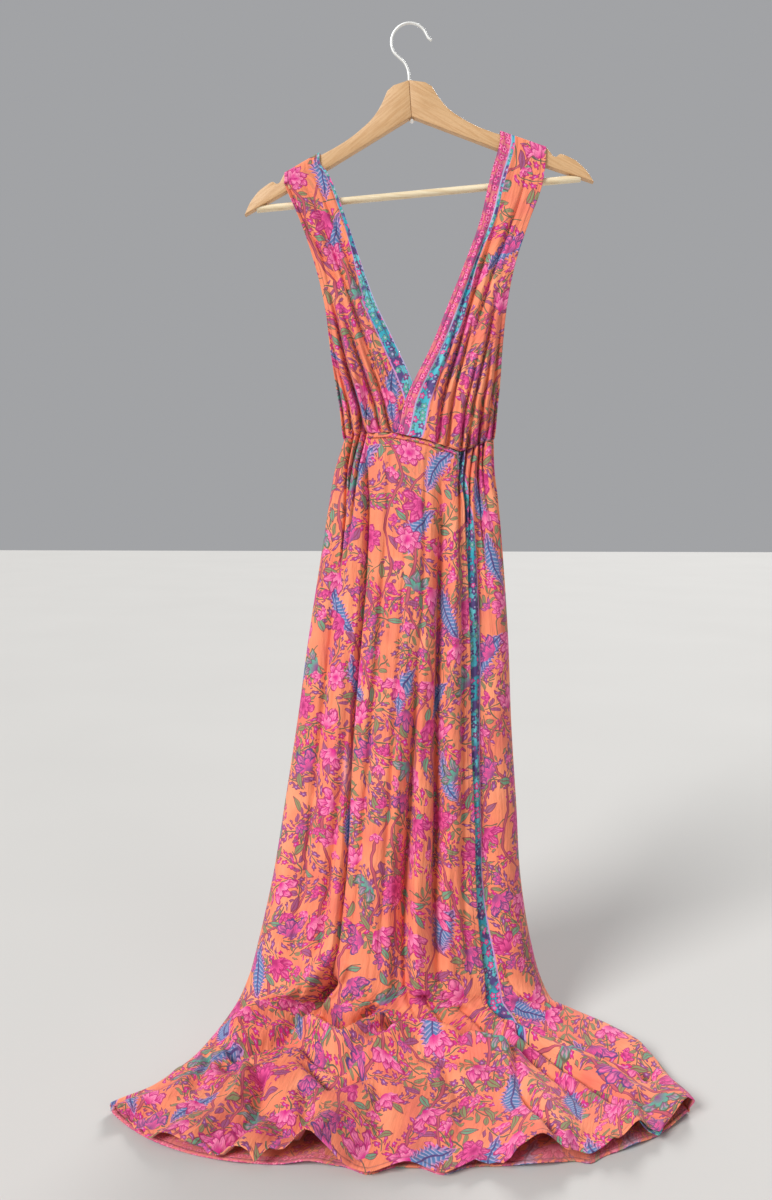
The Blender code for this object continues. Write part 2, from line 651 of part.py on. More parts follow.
def make_arm(name, hand, collection):
    """One wooden arm: its outline as a filled 2D curve, pushed out to the arm's depth."""
    half_gap = ARM_SPLIT_GAP / 2.0
    outline = [(max(x, half_gap), z) for x, z in ARM_TOP + ARM_UNDER]
    curve = bpy.data.curves.new(name + "_outline", "CURVE")
    curve.dimensions = "2D"
    curve.fill_mode = "BOTH"
    curve.extrude = ARM_DEPTH / 2.0 - ARM_EDGE_ROUND
    curve.bevel_depth = ARM_EDGE_ROUND
    curve.bevel_resolution = 1
    curve.offset = -ARM_EDGE_ROUND
    line = curve.splines.new("POLY")
    line.points.add(len(outline) - 1)
    for spot, (across, up) in zip(line.points, outline):
        spot.co = (*hanger_point(hand * across, up), 0.0, 1.0)
    line.use_cyclic_u = True
    bm = solid_of_curve(curve, Matrix.Rotation(math.pi / 2.0, 4, "X"), collection)
    made = place(name, bm, "wood", collection)
    made.data.set_sharp_from_angle(angle=math.radians(35))
    return made


def make_hanger(collection, helpers):
    arms = [make_arm("hanger_arm_left", -1, collection), make_arm("hanger_arm_right", 1, collection)]
    ends = [(-BAR_HALF_LENGTH, -BAR_DROP), (BAR_HALF_LENGTH, -BAR_DROP)]
    wire("hanger_bar", hanger_line(ends), BAR_RADIUS, "dowel", collection, sides=4)
    reach = BAR_HALF_LENGTH + CLEARANCE
    sockets = [(-reach, -BAR_DROP), (reach, -BAR_DROP)]
    stem = [(0.0, -0.13), (0.0, -0.06)]
    for arm in arms:
        bore = wire(arm.name + "_socket", hanger_line(sockets), BAR_RADIUS + CLEARANCE, "wood", collection, 4)
        cut(arm, bore, helpers)
        bore = wire(arm.name + "_bore", hanger_line(stem), WIRE_RADIUS + CLEARANCE, "wood", collection, 2)
        cut(arm, bore, helpers)
    line = list(HOOK_STEM)
    start, end = math.radians(202), math.radians(22)
    for step in range(15):
        angle = start + (end - start) * step / 14
        across = HOOK_CENTRE[0] + HOOK_RADIUS * math.cos(angle)
        line.append((across, HOOK_CENTRE[1] + HOOK_RADIUS * math.sin(angle)))
    line += list(HOOK_TIP)
    hook = wire("hanger_hook", hanger_line(line), WIRE_RADIUS, "steel", collection, sides=2)
    bm = bmesh.new()
    bmesh.ops.create_uvsphere(bm, u_segments=10, v_segments=6, radius=HOOK_HEAD_RADIUS)
    x, z = hanger_point(0.0, -0.1160 - HOOK_HEAD_RADIUS - CLEARANCE)
    bmesh.ops.translate(bm, verts=bm.verts, vec=(x, 0.0, z))
    head = place("hook_head", bm, "steel", collection)
    cut(hook, head, helpers, "UNION")


def make_piping(collection):
    """The narrow folded band laid on the skirt's flat front just under the waist seam."""
    share = np.linspace(FLAT_LEFT + 0.03, FLAT_RIGHT - 0.03, 19)
    drop = np.full(share.shape, PIPING_DROP)
    normal = outward(skirt_base, share, drop, 1)
    out = CLOTH / 2.0 + PIPING_RADIUS + CLEARANCE
    points = skirt_front_surface(share, drop) + normal * out
    wire("waist_piping", points.tolist(), PIPING_RADIUS, "print", collection, sides=1)


def main():
    for old in list(bpy.data.objects):
        bpy.data.objects.remove(old)
    parts = bpy.data.collections.new("maxi_dress")
    helpers = bpy.data.collections.new("cutters")
    for made in (parts, helpers):
        bpy.context.scene.collection.children.link(made)
    make_skirt(parts)
    make_bodice(parts)
    make_piping(parts)
    make_hanger(parts, helpers)


main()
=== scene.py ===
"""The finished look of a wrap-front maxi dress on its wooden hanger.

The dress is drawn as thin shells on the same lines as its solids: metres, +X to the viewer's
right, +Y away from the viewer, +Z up, with the origin inside the top of the hook.
"""

import math
from collections import namedtuple

import bmesh
import bpy
import numpy as np
from bpy.props import FloatProperty, FloatVectorProperty, IntProperty, PointerProperty
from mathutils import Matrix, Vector


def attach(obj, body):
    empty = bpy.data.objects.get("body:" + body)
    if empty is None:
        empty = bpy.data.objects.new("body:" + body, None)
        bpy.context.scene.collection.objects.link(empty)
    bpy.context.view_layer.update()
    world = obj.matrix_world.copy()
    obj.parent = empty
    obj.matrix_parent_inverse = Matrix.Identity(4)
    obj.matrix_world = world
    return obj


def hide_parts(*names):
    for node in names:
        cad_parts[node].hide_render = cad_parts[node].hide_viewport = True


bl_info = {
    "name": "Wrap-front maxi dress",
    "version": (1, 0, 0),
    "blender": (4, 5, 0),
    "location": "View3D > Sidebar > Dress",
    "description": "Builds a printed wrap-front maxi dress on a wooden hanger",
    "category": "Object",
}

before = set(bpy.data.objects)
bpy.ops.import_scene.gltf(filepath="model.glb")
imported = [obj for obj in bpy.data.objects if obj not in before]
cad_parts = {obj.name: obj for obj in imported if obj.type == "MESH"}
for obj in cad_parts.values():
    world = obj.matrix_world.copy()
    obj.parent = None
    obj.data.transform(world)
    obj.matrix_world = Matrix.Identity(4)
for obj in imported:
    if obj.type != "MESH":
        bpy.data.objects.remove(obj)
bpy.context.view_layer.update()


def rows(kind, *values):
    """A table whose rows have named columns."""
    return tuple(kind(*row) for row in values)


# Lines of the garment, the same as those of its solids
FLOOR_Z = -1.3095
SKIRT_LENGTH = 1.045
SEAM_GAP = 0.0006

SkirtRow = namedtuple(
    "SkirtRow", "drop left left_y right right_y seam_z bow lean front back"
)
SKIRT_ROWS = rows(
    SkirtRow,
    (0.000, -0.0820, -0.006, 0.1130, -0.006, -0.5205, 0.000, 0, 0.024, 0.020),
    (0.040, -0.0945, -0.006, 0.1145, -0.006, -0.5600, 0.000, 0, 0.030, 0.026),
    (0.080, -0.1015, -0.007, 0.1195, -0.007, -0.5990, 0.000, 0, 0.035, 0.030),
    (0.160, -0.1140, -0.008, 0.1270, -0.008, -0.6780, 0.000, 0, 0.042, 0.034),
    (0.267, -0.1310, -0.010, 0.1350, -0.010, -0.7850, 0.000, 0, 0.049, 0.036),
    (0.375, -0.1460, -0.012, 0.1400, -0.012, -0.8930, 0.000, 0, 0.054, 0.038),
    (0.485, -0.1635, -0.014, 0.1480, -0.014, -1.0030, 0.000, 0, 0.060, 0.038),
    (0.598, -0.1820, -0.018, 0.1560, -0.018, -1.1140, 0.000, 2, 0.066, 0.037),
    (0.680, -0.2000, -0.023, 0.1700, -0.021, -1.1950, 0.003, 6, 0.070, 0.034),
    (0.735, -0.2130, -0.027, 0.1840, -0.020, -1.2460, 0.012, 18, 0.070, 0.028),
    (0.790, -0.2290, -0.036, 0.2050, -0.018, -1.2860, 0.034, 45, 0.062, 0.017),
    (0.840, -0.2410, -0.064, 0.2380, -0.034, -1.3010, 0.058, 72, 0.046, 0.007),
    (0.890, -0.2520, -0.105, 0.2780, -0.064, -1.3040, 0.072, 88, 0.034, 0.0045),
    (0.940, -0.2670, -0.150, 0.3110, -0.100, -1.3042, 0.082, 90, 0.026, 0.0042),
    (0.990, -0.2960, -0.200, 0.3270, -0.152, -1.3042, 0.090, 90, 0.019, 0.0042),
    (1.045, -0.3370, -0.243, 0.3360, -0.213, -1.3042, 0.090, 90, 0.010, 0.0042),
)
BOW_POWER = 4.0
FACE_POWER = 1.5
SIDE_START = 0.88
FRONT_SIDE_ROUND = 0.55
BACK_SIDE_ROUND = 0.80

FrontLine = namedtuple("FrontLine", "drop crease valley edge")
FRONT_LINES = rows(
    FrontLine,
    (0.000, -0.700, 0.380, 0.540),
    (0.080, -0.600, 0.381, 0.631),
    (0.160, -0.560, 0.363, 0.654),
    (0.375, -0.540, 0.366, 0.685),
    (0.598, -0.472, 0.371, 0.710),
    (0.735, -0.500, 0.330, 0.665),
    (0.790, -0.600, 0.290, 0.585),
    (0.890, -0.800, 0.250, 0.520),
    (0.990, -0.860, 0.320, 0.700),
    (1.045, -0.880, 0.400, 0.800),
)
STEP_HEIGHT = 0.0035
STEP_OUTER = 0.020
STEP_INNER = 0.022
STEP_EASE = 0.006
STEP_END = (0.84, 0.74)
GROOVE_DEPTH = 0.0090
GROOVE_PLACE = 0.0020
GROOVE_HALF_WIDTH = 0.0026
VALLEY_DEPTH = 0.014
VALLEY_HALF_WIDTH = 0.0085

# Folds that run down the skirt: the solids' own, and then the sharper ones that the shells add
LongFold = namedtuple("LongFold", "start end share_start share_end half_width height")
FRONT_FOLDS = rows(
    LongFold,
    (0.00, 0.62, -0.84, -0.72, 0.016, 0.005),
    (0.30, 0.80, -0.22, -0.16, 0.030, 0.006),
    (0.05, 0.55, 0.02, 0.05, 0.026, 0.004),
    (0.40, 0.84, 0.09, 0.02, 0.014, -0.013),
    (0.42, 0.82, 0.24, 0.18, 0.016, 0.007),
    (0.02, 0.70, 0.51, 0.53, 0.015, 0.009),
    (0.01, 0.30, 0.86, 0.82, 0.010, -0.006),
    (0.02, 0.72, 0.93, 0.90, 0.016, 0.004),
    (0.00, 0.72, -0.31, -0.33, 0.0060, -0.0075),
    (0.02, 0.52, -0.36, -0.40, 0.0110, 0.0045),
    (0.10, 0.70, -0.06, -0.10, 0.0058, -0.0070),
    (0.12, 0.62, -0.02, -0.05, 0.0090, 0.0040),
    (0.00, 0.40, 0.16, 0.14, 0.0050, -0.0060),
    (0.24, 0.82, 0.12, 0.10, 0.0065, -0.0080),
    (0.20, 0.76, 0.17, 0.16, 0.0090, 0.0050),
    (0.00, 0.78, 0.44, 0.44, 0.0100, 0.0060),
    (0.02, 0.74, 0.585, 0.60, 0.0055, -0.0060),
    (0.00, 0.76, 0.80, 0.79, 0.0062, -0.0085),
    (0.04, 0.62, 0.75, 0.75, 0.0080, 0.0030),
    (0.05, 0.72, -0.88, -0.80, 0.0065, -0.0065),
    (0.02, 0.60, -0.68, -0.64, 0.0080, 0.0050),
    (0.30, 0.88, -0.56, -0.62, 0.0070, -0.0085),
    (0.04, 0.82, 0.37, 0.36, 0.0060, -0.0090),
    (0.30, 0.88, 0.115, 0.10, 0.0075, -0.0110),
)
BACK_FOLDS = rows(
    LongFold,
    (0.02, 0.74, -0.76, -0.66, 0.020, 0.008),
    (0.02, 0.72, -0.52, -0.46, 0.016, -0.007),
    (0.02, 0.76, -0.22, -0.17, 0.021, 0.010),
    (0.02, 0.70, 0.04, 0.06, 0.016, -0.008),
    (0.02, 0.74, 0.30, 0.27, 0.020, 0.009),
    (0.04, 0.72, 0.56, 0.52, 0.016, -0.007),
    (0.02, 0.72, 0.80, 0.74, 0.018, 0.007),
    (0.00, 0.72, -0.64, -0.58, 0.0065, -0.0075),
    (0.02, 0.60, -0.70, -0.64, 0.0090, 0.0040),
    (0.05, 0.68, -0.34, -0.31, 0.0060, -0.0080),
    (0.00, 0.55, -0.10, -0.08, 0.0055, -0.0070),
    (0.18, 0.76, 0.17, 0.16, 0.0065, -0.0085),
    (0.10, 0.60, 0.12, 0.11, 0.0085, 0.0040),
    (0.00, 0.62, 0.43, 0.40, 0.0060, -0.0075),
    (0.04, 0.72, 0.70, 0.66, 0.0065, -0.0080),
    (0.10, 0.70, 0.90, 0.84, 0.0060, -0.0050),
)
BACK_FOLDS_END = (0.74, 0.62)

# Rolls of the cloth on the floor: the solids' own, and then the narrow crests and creases
Roll = namedtuple("Roll", "share drop share_mid drop_mid share_end drop_end half_width height")
ROLLS = rows(
    Roll,
    (-0.58, 0.700, -0.70, 0.800, -0.80, 0.875, 0.024, 0.018),
    (-0.44, 0.730, -0.52, 0.850, -0.78, 0.925, 0.015, -0.015),
    (-0.54, 0.835, -0.30, 0.892, -0.10, 0.850, 0.013, 0.014),
    (-0.42, 0.815, -0.28, 0.852, -0.15, 0.820, 0.017, -0.016),
    (-0.46, 0.895, -0.32, 0.935, -0.20, 0.925, 0.014, -0.011),
    (-0.20, 0.905, 0.02, 0.878, 0.34, 0.915, 0.024, 0.018),
    (-0.06, 0.830, 0.14, 0.842, 0.34, 0.858, 0.018, -0.010),
    (0.02, 0.930, 0.20, 0.936, 0.36, 0.950, 0.014, 0.007),
    (0.46, 0.870, 0.37, 0.930, 0.50, 1.020, 0.018, 0.010),
    (0.55, 0.860, 0.62, 0.925, 0.74, 0.990, 0.018, 0.011),
    (0.66, 0.880, 0.74, 0.930, 0.84, 0.970, 0.014, -0.007),
    (0.87, 0.770, 0.88, 0.850, 0.88, 0.930, 0.024, 0.008),
    (-0.56, 0.960, -0.46, 0.985, -0.37, 1.015, 0.012, -0.010),
    (-0.80, 0.960, -0.72, 0.990, -0.70, 1.040, 0.014, -0.005),
    (-0.50, 0.690, -0.67, 0.800, -0.84, 0.868, 0.0130, 0.0080),
    (-0.44, 0.735, -0.57, 0.842, -0.80, 0.902, 0.0080, -0.0130),
    (-0.46, 0.800, -0.30, 0.862, -0.14, 0.806, 0.0085, -0.0180),
    (-0.52, 0.842, -0.30, 0.898, -0.10, 0.856, 0.0100, 0.0120),
    (-0.42, 0.950, -0.36, 0.985, -0.34, 1.010, 0.0080, -0.0120),
    (-0.20, 0.900, 0.02, 0.872, 0.34, 0.908, 0.0150, 0.0070),
    (0.41, 0.800, 0.44, 0.880, 0.58, 0.980, 0.0090, -0.0110),
    (0.50, 0.820, 0.56, 0.900, 0.72, 0.970, 0.0100, 0.0080),
    (-0.60, 0.715, -0.72, 0.810, -0.83, 0.885, 0.0080, 0.0090),
    (-0.50, 0.740, -0.60, 0.840, -0.79, 0.905, 0.0060, -0.0135),
    (-0.53, 0.840, -0.30, 0.897, -0.11, 0.856, 0.0065, 0.0097),
    (-0.52, 0.872, -0.31, 0.918, -0.12, 0.888, 0.0055, -0.0149),
    (-0.40, 0.838, -0.29, 0.866, -0.17, 0.838, 0.0060, -0.0108),
    (-0.18, 0.900, 0.02, 0.872, 0.34, 0.910, 0.0080, 0.0090),
    (-0.10, 0.862, 0.10, 0.850, 0.34, 0.882, 0.0060, -0.0135),
    (-0.46, 0.905, -0.33, 0.945, -0.22, 0.930, 0.0060, -0.0121),
    (0.40, 0.900, 0.36, 0.950, 0.44, 1.030, 0.0060, -0.0121),
    (0.52, 0.870, 0.58, 0.930, 0.70, 1.000, 0.0065, -0.0135),
    (0.60, 0.860, 0.67, 0.920, 0.80, 0.970, 0.0070, 0.0097),
    (0.70, 0.900, 0.78, 0.940, 0.86, 0.985, 0.0060, -0.0121),
    (-0.62, 0.930, -0.53, 0.985, -0.50, 1.040, 0.0080, -0.0162),
    (-0.70, 0.920, -0.64, 0.970, -0.60, 1.040, 0.0070, 0.0105),
    (-0.86, 0.930, -0.80, 0.980, -0.82, 1.040, 0.0060, -0.0081),
    (0.10, 0.930, 0.16, 0.980, 0.14, 1.040, 0.0070, -0.0081),
    (-0.15, 0.950, -0.10, 1.000, -0.12, 1.040, 0.0070, -0.0081),
    (0.20, 0.760, 0.24, 0.840, 0.20, 0.900, 0.0070, -0.0108),
    (-0.36, 0.700, -0.44, 0.780, -0.56, 0.850, 0.0065, 0.0090),
)
POOL_START = 0.78
LOWEST_SHARE = 0.66

# The hem's arches, and the smaller scallops that the shells add to them
Flute = namedtuple("Flute", "share half_share reach height forward")
FLUTES = rows(
    Flute,
    (-0.93, 0.045, 0.055, 0.005, 0.000),
    (-0.68, 0.075, 0.080, 0.013, 0.004),
    (-0.46, 0.070, 0.065, 0.011, 0.004),
    (-0.25, 0.075, 0.095, 0.024, 0.002),
    (-0.08, 0.060, 0.050, -0.001, 0.012),
    (0.03, 0.040, 0.045, 0.008, 0.004),
    (0.13, 0.060, 0.050, -0.001, 0.012),
    (0.40, 0.090, 0.090, 0.021, 0.006),
    (0.55, 0.040, 0.050, 0.000, 0.008),
    (0.69, 0.055, 0.070, 0.016, 0.002),
    (0.86, 0.070, 0.075, 0.019, 0.002),
)
BACK_FLUTE_SHARE = 0.30
SCALLOPS = rows(
    Flute,
    (-0.26, 0.050, 0.085, 0.010, -0.002),
    (0.41, 0.060, 0.080, 0.009, -0.002),
    (0.70, 0.040, 0.065, 0.008, 0.000),
    (-0.90, 0.018, 0.040, -0.003, 0.008),
    (-0.73, 0.020, 0.045, -0.004, 0.013),
    (-0.40, 0.020, 0.045, -0.004, 0.013),
    (-0.97, 0.020, 0.040, 0.006, 0.004),
    (-0.86, 0.025, 0.050, 0.010, 0.004),
    (-0.78, 0.020, 0.040, -0.002, 0.008),
    (-0.60, 0.025, 0.050, 0.006, 0.010),
    (-0.53, 0.018, 0.040, -0.003, 0.012),
    (-0.36, 0.025, 0.050, 0.010, 0.004),
    (-0.16, 0.030, 0.060, 0.006, 0.010),
    (-0.02, 0.020, 0.040, 0.005, 0.006),
    (0.22, 0.030, 0.050, 0.009, 0.002),
    (0.31, 0.020, 0.040, -0.002, 0.010),
    (0.48, 0.020, 0.040, 0.006, 0.012),
    (0.62, 0.020, 0.050, 0.011, 0.004),
    (0.77, 0.020, 0.040, 0.002, 0.010),
    (0.92, 0.025, 0.050, 0.008, 0.004),
)
HEM_DRAPE_LOW = 0.006
HEM_DRAPE_OUT = 0.008

GATHER_FADE = 0.060
SIDE_GATHERS = 3
BACK_GATHERS = 8
GATHER_HEIGHT = 0.0024
FLAT_LEFT = -0.700
FLAT_RIGHT = 0.540
BACK_TUCKS = 19
TUCK_REACH = (0.08, 0.22)
TUCK_DEPTH = (0.0075, 0.0110)
FRONT_TUCK_HALF_WIDTH = 0.0017
BACK_TUCK_HALF_WIDTH = 0.0026

WAIST_SEAM_X = (-0.0820, -0.0570, -0.0200, 0.0250, 0.0690, 0.0900, 0.1130)
WAIST_SEAM_Z = (-0.5205, -0.5135, -0.5125, -0.5220, -0.5370, -0.5300, -0.5205)
WAIST_SEAM_FADE = 0.060

UNDERLAP = 0.028
UNDER_STEP = 0.0050
UNDER_EASE = 0.022
UNDER_KNOT = 0.4
PANEL_KNOTS = (0.0, 0.16, 0.34, 0.78, 1.0)

OVER_ARM_Y = (0.0003, 0.0036, 0.0064, 0.0076, 0.0080)
OVER_ARM_Z = (0.0013, 0.0013, 0.0006, -0.0018, -0.0090)

BodiceRow = namedtuple("BodiceRow", "down arm_x arm_z neck_x neck_z arm_y neck_y")
LEFT_BODICE = rows(
    BodiceRow,
    (0.10, -0.1580, -0.1950, -0.1020, -0.1830, -0.0080, -0.0085),
    (0.22, -0.1370, -0.2440, -0.0810, -0.2330, -0.0095, -0.0115),
    (0.36, -0.1180, -0.3010, -0.0590, -0.2960, -0.0105, -0.0140),
    (0.50, -0.1060, -0.3520, -0.0410, -0.3450, -0.0105, -0.0165),
    (0.64, -0.1000, -0.4030, -0.0160, -0.3960, -0.0095, -0.0190),
    (0.80, -0.0920, -0.4550, 0.0090, -0.4500, -0.0080, -0.0210),
    (0.92, -0.0855, -0.4950, 0.0230, -0.4900, -0.0065, -0.0225),
    (1.00, -0.0820, -0.5200, 0.0330, -0.5150, -0.0060, -0.0230),
)
RIGHT_BODICE = rows(
    BodiceRow,
    (0.10, 0.1720, -0.1940, 0.1060, -0.1880, -0.0080, -0.0085),
    (0.22, 0.1560, -0.2430, 0.0930, -0.2440, -0.0095, -0.0120),
    (0.36, 0.1380, -0.2980, 0.0730, -0.3000, -0.0105, -0.0160),
    (0.50, 0.1280, -0.3500, 0.0530, -0.3500, -0.0105, -0.0200),
    (0.64, 0.1230, -0.4020, 0.0320, -0.4020, -0.0095, -0.0240),
    (0.80, 0.1200, -0.4560, 0.0050, -0.4560, -0.0080, -0.0270),
    (0.92, 0.1160, -0.4930, -0.0080, -0.4900, -0.0065, -0.0285),
    (1.00, 0.1130, -0.5210, -0.0150, -0.5140, -0.0060, -0.0285),
)
LEFT_STRAP = (0.1670, 0.1200)
RIGHT_STRAP = (0.1660, 0.1100)
ARMHOLE_ROUND = 0.30
BACK_DEPTH_SHARE = 0.62
BACK_GATHER_SHARE = 0.2
WAIST_LAYER = 0.0026
ARMHOLE_APART = 0.0009
WAIST_GATHER_SHARE = 0.4
BODICE_GATHERS = 5
BODICE_GATHER_HEIGHT = 0.0034
STRAP_FOLD_HEIGHT = 0.0007
EVEN_WAVE = 0.6

# Sharp folds of a bodice panel: its places from armhole to neck, where it starts and ends going
# down, and its half width and depth in metres
Pleat = namedtuple("Pleat", "first middle last start end half_width depth")
LEFT_PLEATS = rows(
    Pleat,
    (0.42, 0.56, 0.69, 0.02, 1.10, 0.0030, 0.0048),
    (0.07, 0.12, 0.40, 0.04, 0.44, 0.0030, 0.0034),
    (0.68, 0.72, 0.80, 0.04, 0.50, 0.0026, 0.0026),
    (0.50, 0.56, 0.60, 0.56, 1.20, 0.0026, 0.0060),
    (0.34, 0.44, 0.50, 0.48, 1.20, 0.0028, 0.0062),
    (0.14, 0.26, 0.38, 0.60, 1.20, 0.0026, 0.0060),
    (0.14, 0.22, 0.27, 0.36, 1.20, 0.0026, 0.0058),
    (0.02, 0.11, 0.16, 0.50, 1.20, 0.0024, 0.0052),
    (0.03, 0.03, 0.06, 0.62, 1.20, 0.0020, 0.0040),
    (0.70, 0.74, 0.78, 0.62, 1.10, 0.0024, 0.0020),
)
RIGHT_PLEATS = rows(
    Pleat,
    (0.68, 0.62, 0.56, 0.10, 1.15, 0.0032, 0.0052),
    (0.30, 0.36, 0.46, 0.02, 0.62, 0.0030, 0.0030),
    (0.80, 0.76, 0.70, 0.16, 0.72, 0.0026, 0.0034),
    (0.74, 0.70, 0.67, 0.56, 1.15, 0.0026, 0.0040),
    (0.52, 0.50, 0.46, 0.44, 1.20, 0.0027, 0.0060),
    (0.30, 0.34, 0.38, 0.56, 1.20, 0.0025, 0.0058),
    (0.20, 0.26, 0.30, 0.40, 1.20, 0.0026, 0.0060),
    (0.14, 0.17, 0.20, 0.56, 1.20, 0.0024, 0.0056),
    (0.06, 0.08, 0.11, 0.48, 1.20, 0.0024, 0.0050),
    (0.02, 0.03, 0.04, 0.70, 1.20, 0.0020, 0.0036),
)
BACK_PLEAT_SHARE = 0.55
PLEAT_DEPTH = 1.70
PLEAT_RISE = 0.55

# The hanger
HANGER_TILT = math.radians(4.4)
HANGER_AXIS_X = -0.004
ARM_TOP = (
    (0.0000, -0.0720),
    (0.0200, -0.0765),
    (0.0285, -0.0825),
    (0.0370, -0.0980),
    (0.0490, -0.1130),
    (0.0660, -0.1260),
    (0.1680, -0.1710),
    (0.1760, -0.1800),
    (0.1860, -0.1805),
    (0.2030, -0.1890),
    (0.2150, -0.2020),
    (0.2235, -0.2165),
)
ARM_CURVE = slice(2, 7)
ARM_TIP = slice(9, 12)
ARM_NOTCH = ((0.1740, -0.1802), (0.1765, -0.1817), (0.1790, -0.1818), (0.1815, -0.1796))
ARM_BEAK = ((0.1842, -0.1788), (0.1880, -0.1803), (0.1945, -0.1838))
ARM_UNDER = ((0.1650, -0.1915), (0.1060, -0.1660), (0.0000, -0.1160))
ARM_CURVE_STEPS = 5
ARM_DEPTH = 0.012
ARM_SPLIT_GAP = 0.0003
ARM_ROUNDING = 0.0020
SHARP_ANGLE = math.radians(40)
BAR_RADIUS = 0.0045
BAR_HALF_LENGTH = 0.2075
BAR_DROP = 0.2095
WIRE_RADIUS = 0.0018
HOOK_RADIUS = 0.0230
HOOK_STEM = ((0.0, -0.1185), (0.0, -0.0740), (-0.0005, -0.0580), (-0.0042, -0.0485), (-0.0115, -0.0405))
HOOK_CENTRE = (0.0040, -0.0248)
HOOK_ARC = (202.0, 22.0)
HOOK_TIP = ((0.0278, -0.0215), (0.0318, -0.0255))
HOOK_HEAD_RADIUS = 0.0033

# What the looks add to those lines
CREASE_SEED = 11
FRONT_CREASES = 90
BACK_CREASES = 80
BODICE_CREASES = 26
POOL_CREASES = 46
PRINT_ROWS = 12
PRINT_COLUMNS = 9
PRINT_FOLLOWS = 0.4
PIPING_DROP = 0.005
BORDER_PINK = 0.0140
BORDER_LINE = 0.0160
BORDER_TEAL = 0.0320
BORDER_END = 0.0340
NO_BORDER = 1.0
STRIP_DROPS = (0.00, 0.12, 0.30, 0.60, 0.74, 0.84, 0.91, 1.045)
STRIP_SHOWN = (0.022, 0.024, 0.021, 0.015, 0.022, 0.021, -0.006, -0.006)
BACK_HEM_STRIP = 0.014
BACK_STRIP_END = -0.20


def smooth(share):
    """An eased 0 to 1."""
    share = np.clip(share, 0.0, 1.0)
    return share * share * (3.0 - 2.0 * share)


def rise(value, start, end):
    """0 at the start and 1 at the end, eased. With the start after the end it falls instead."""
    return smooth((value - start) / (end - start))


def bell(offset):
    return np.exp(-(offset**2))


def ridge(offset):
    """A soft ridge profile, 1 on its line and 0 beyond one half width or so."""
    return np.exp(-1.6 * offset**2)


def through(knots, values, at):
    """A smooth curve through the values at the knots, read at the places given."""
    knots = np.asarray(knots, float)
    values = np.asarray(values, float)
    at = np.clip(np.asarray(at, float), knots[0], knots[-1])
    slopes = np.gradient(values, knots)
    index = np.clip(np.searchsorted(knots, at) - 1, 0, len(knots) - 2)
    span = knots[index + 1] - knots[index]
    t = (at - knots[index]) / span
    climb = values[index + 1] - values[index]
    a = slopes[index] * span - climb
    b = climb - slopes[index + 1] * span
    return values[index] + t * climb + t * (1.0 - t) * ((1.0 - t) * a + t * b)


def column(table, name):
    return [getattr(row, name) for row in table]


def skirt_at(drop, name):
    return through(column(SKIRT_ROWS, "drop"), column(SKIRT_ROWS, name), drop)


def line_at(drop, name):
    return through(column(FRONT_LINES, "drop"), column(FRONT_LINES, name), drop)


def half_width(drop):
    return (skirt_at(drop, "right") - skirt_at(drop, "left")) / 2.0


def depth_and_corner(drop, side):
    """How far the front or back stands out from the side seams, and its rounding there."""
    depth = skirt_at(drop, "front" if side > 0 else "back")
    return depth, depth * (FRONT_SIDE_ROUND if side > 0 else BACK_SIDE_ROUND)


def skirt_base(share, drop, side):
    """The skirt without its folds: side is 1 for the front and -1 for the back."""
    depth, corner = depth_and_corner(drop, side)
    lean = np.radians(skirt_at(drop, "lean"))
    away = np.abs(share)
    on_face = away < SIDE_START
    inner = np.clip(away / SIDE_START, 0.0, 1.0)
    turn = np.clip((away - SIDE_START) / (1.0 - SIDE_START), 0.0, 1.0) * math.pi / 2.0
    reach = half_width(drop)
    across = np.where(on_face, (reach - corner) * inner, reach - corner + corner * np.sin(turn))
    bulge = (1.0 - inner**2) ** FACE_POWER
    out = np.where(on_face, corner + (depth - corner) * bulge, corner * np.cos(turn))
    place = np.sign(share) * across / reach
    left_y, right_y = skirt_at(drop, "left_y"), skirt_at(drop, "right_y")
    bow = skirt_at(drop, "bow") * (1.0 - np.abs(place) ** BOW_POWER)
    x = (skirt_at(drop, "left") + skirt_at(drop, "right")) / 2.0 + place * reach
    y = left_y + (right_y - left_y) * (place + 1.0) / 2.0 - bow - side * out * np.cos(lean)
    z = skirt_at(drop, "seam_z") + side * out * np.sin(lean)
    if side > 0:
        seam = np.interp(x, WAIST_SEAM_X, WAIST_SEAM_Z) - SKIRT_ROWS[0].seam_z
        z = z + seam * bell(drop / WAIST_SEAM_FADE)
    return np.stack([x, y, z], axis=-1)


def outward(share, drop, side):
    """Unit normals that point out of the garment, from small steps over the base."""
    step = 1e-4
    along = skirt_base(share + step, drop, side) - skirt_base(share - step, drop, side)
    down = skirt_base(share, drop + step, side) - skirt_base(share, drop - step, side)
    normal = np.cross(down, along) * side
    return normal / np.linalg.norm(normal, axis=-1, keepdims=True)


def long_folds(share, drop, folds):
    lift = np.zeros(np.shape(share))
    reach = half_width(drop)
    for fold in folds:
        along = np.clip((drop - fold.start) / (fold.end - fold.start), 0.0, 1.0)
        line = fold.share_start + (fold.share_end - fold.share_start) * along
        swell = np.sin(math.pi * along) ** 0.6
        lift += fold.height * swell * ridge((share - line) * reach / fold.half_width)
    return lift


def side_step(share, drop):
    """The step where the left of the skirt front falls over the middle, with a dark line under it."""
    offset = (share - line_at(drop, "crease")) * half_width(drop)
    step = smooth(0.5 - offset / STEP_EASE)
    outer = bell(offset / STEP_OUTER) * (offset < 0.0)
    inner = bell(offset / STEP_INNER) * (offset >= 0.0)
    form = STEP_HEIGHT * smooth(drop / 0.10) * (outer * step - inner * (1.0 - step))
    groove = GROOVE_DEPTH * smooth(drop / 0.06) * bell((offset - GROOVE_PLACE) / GROOVE_HALF_WIDTH)
    return (form - groove) * rise(drop, *STEP_END)


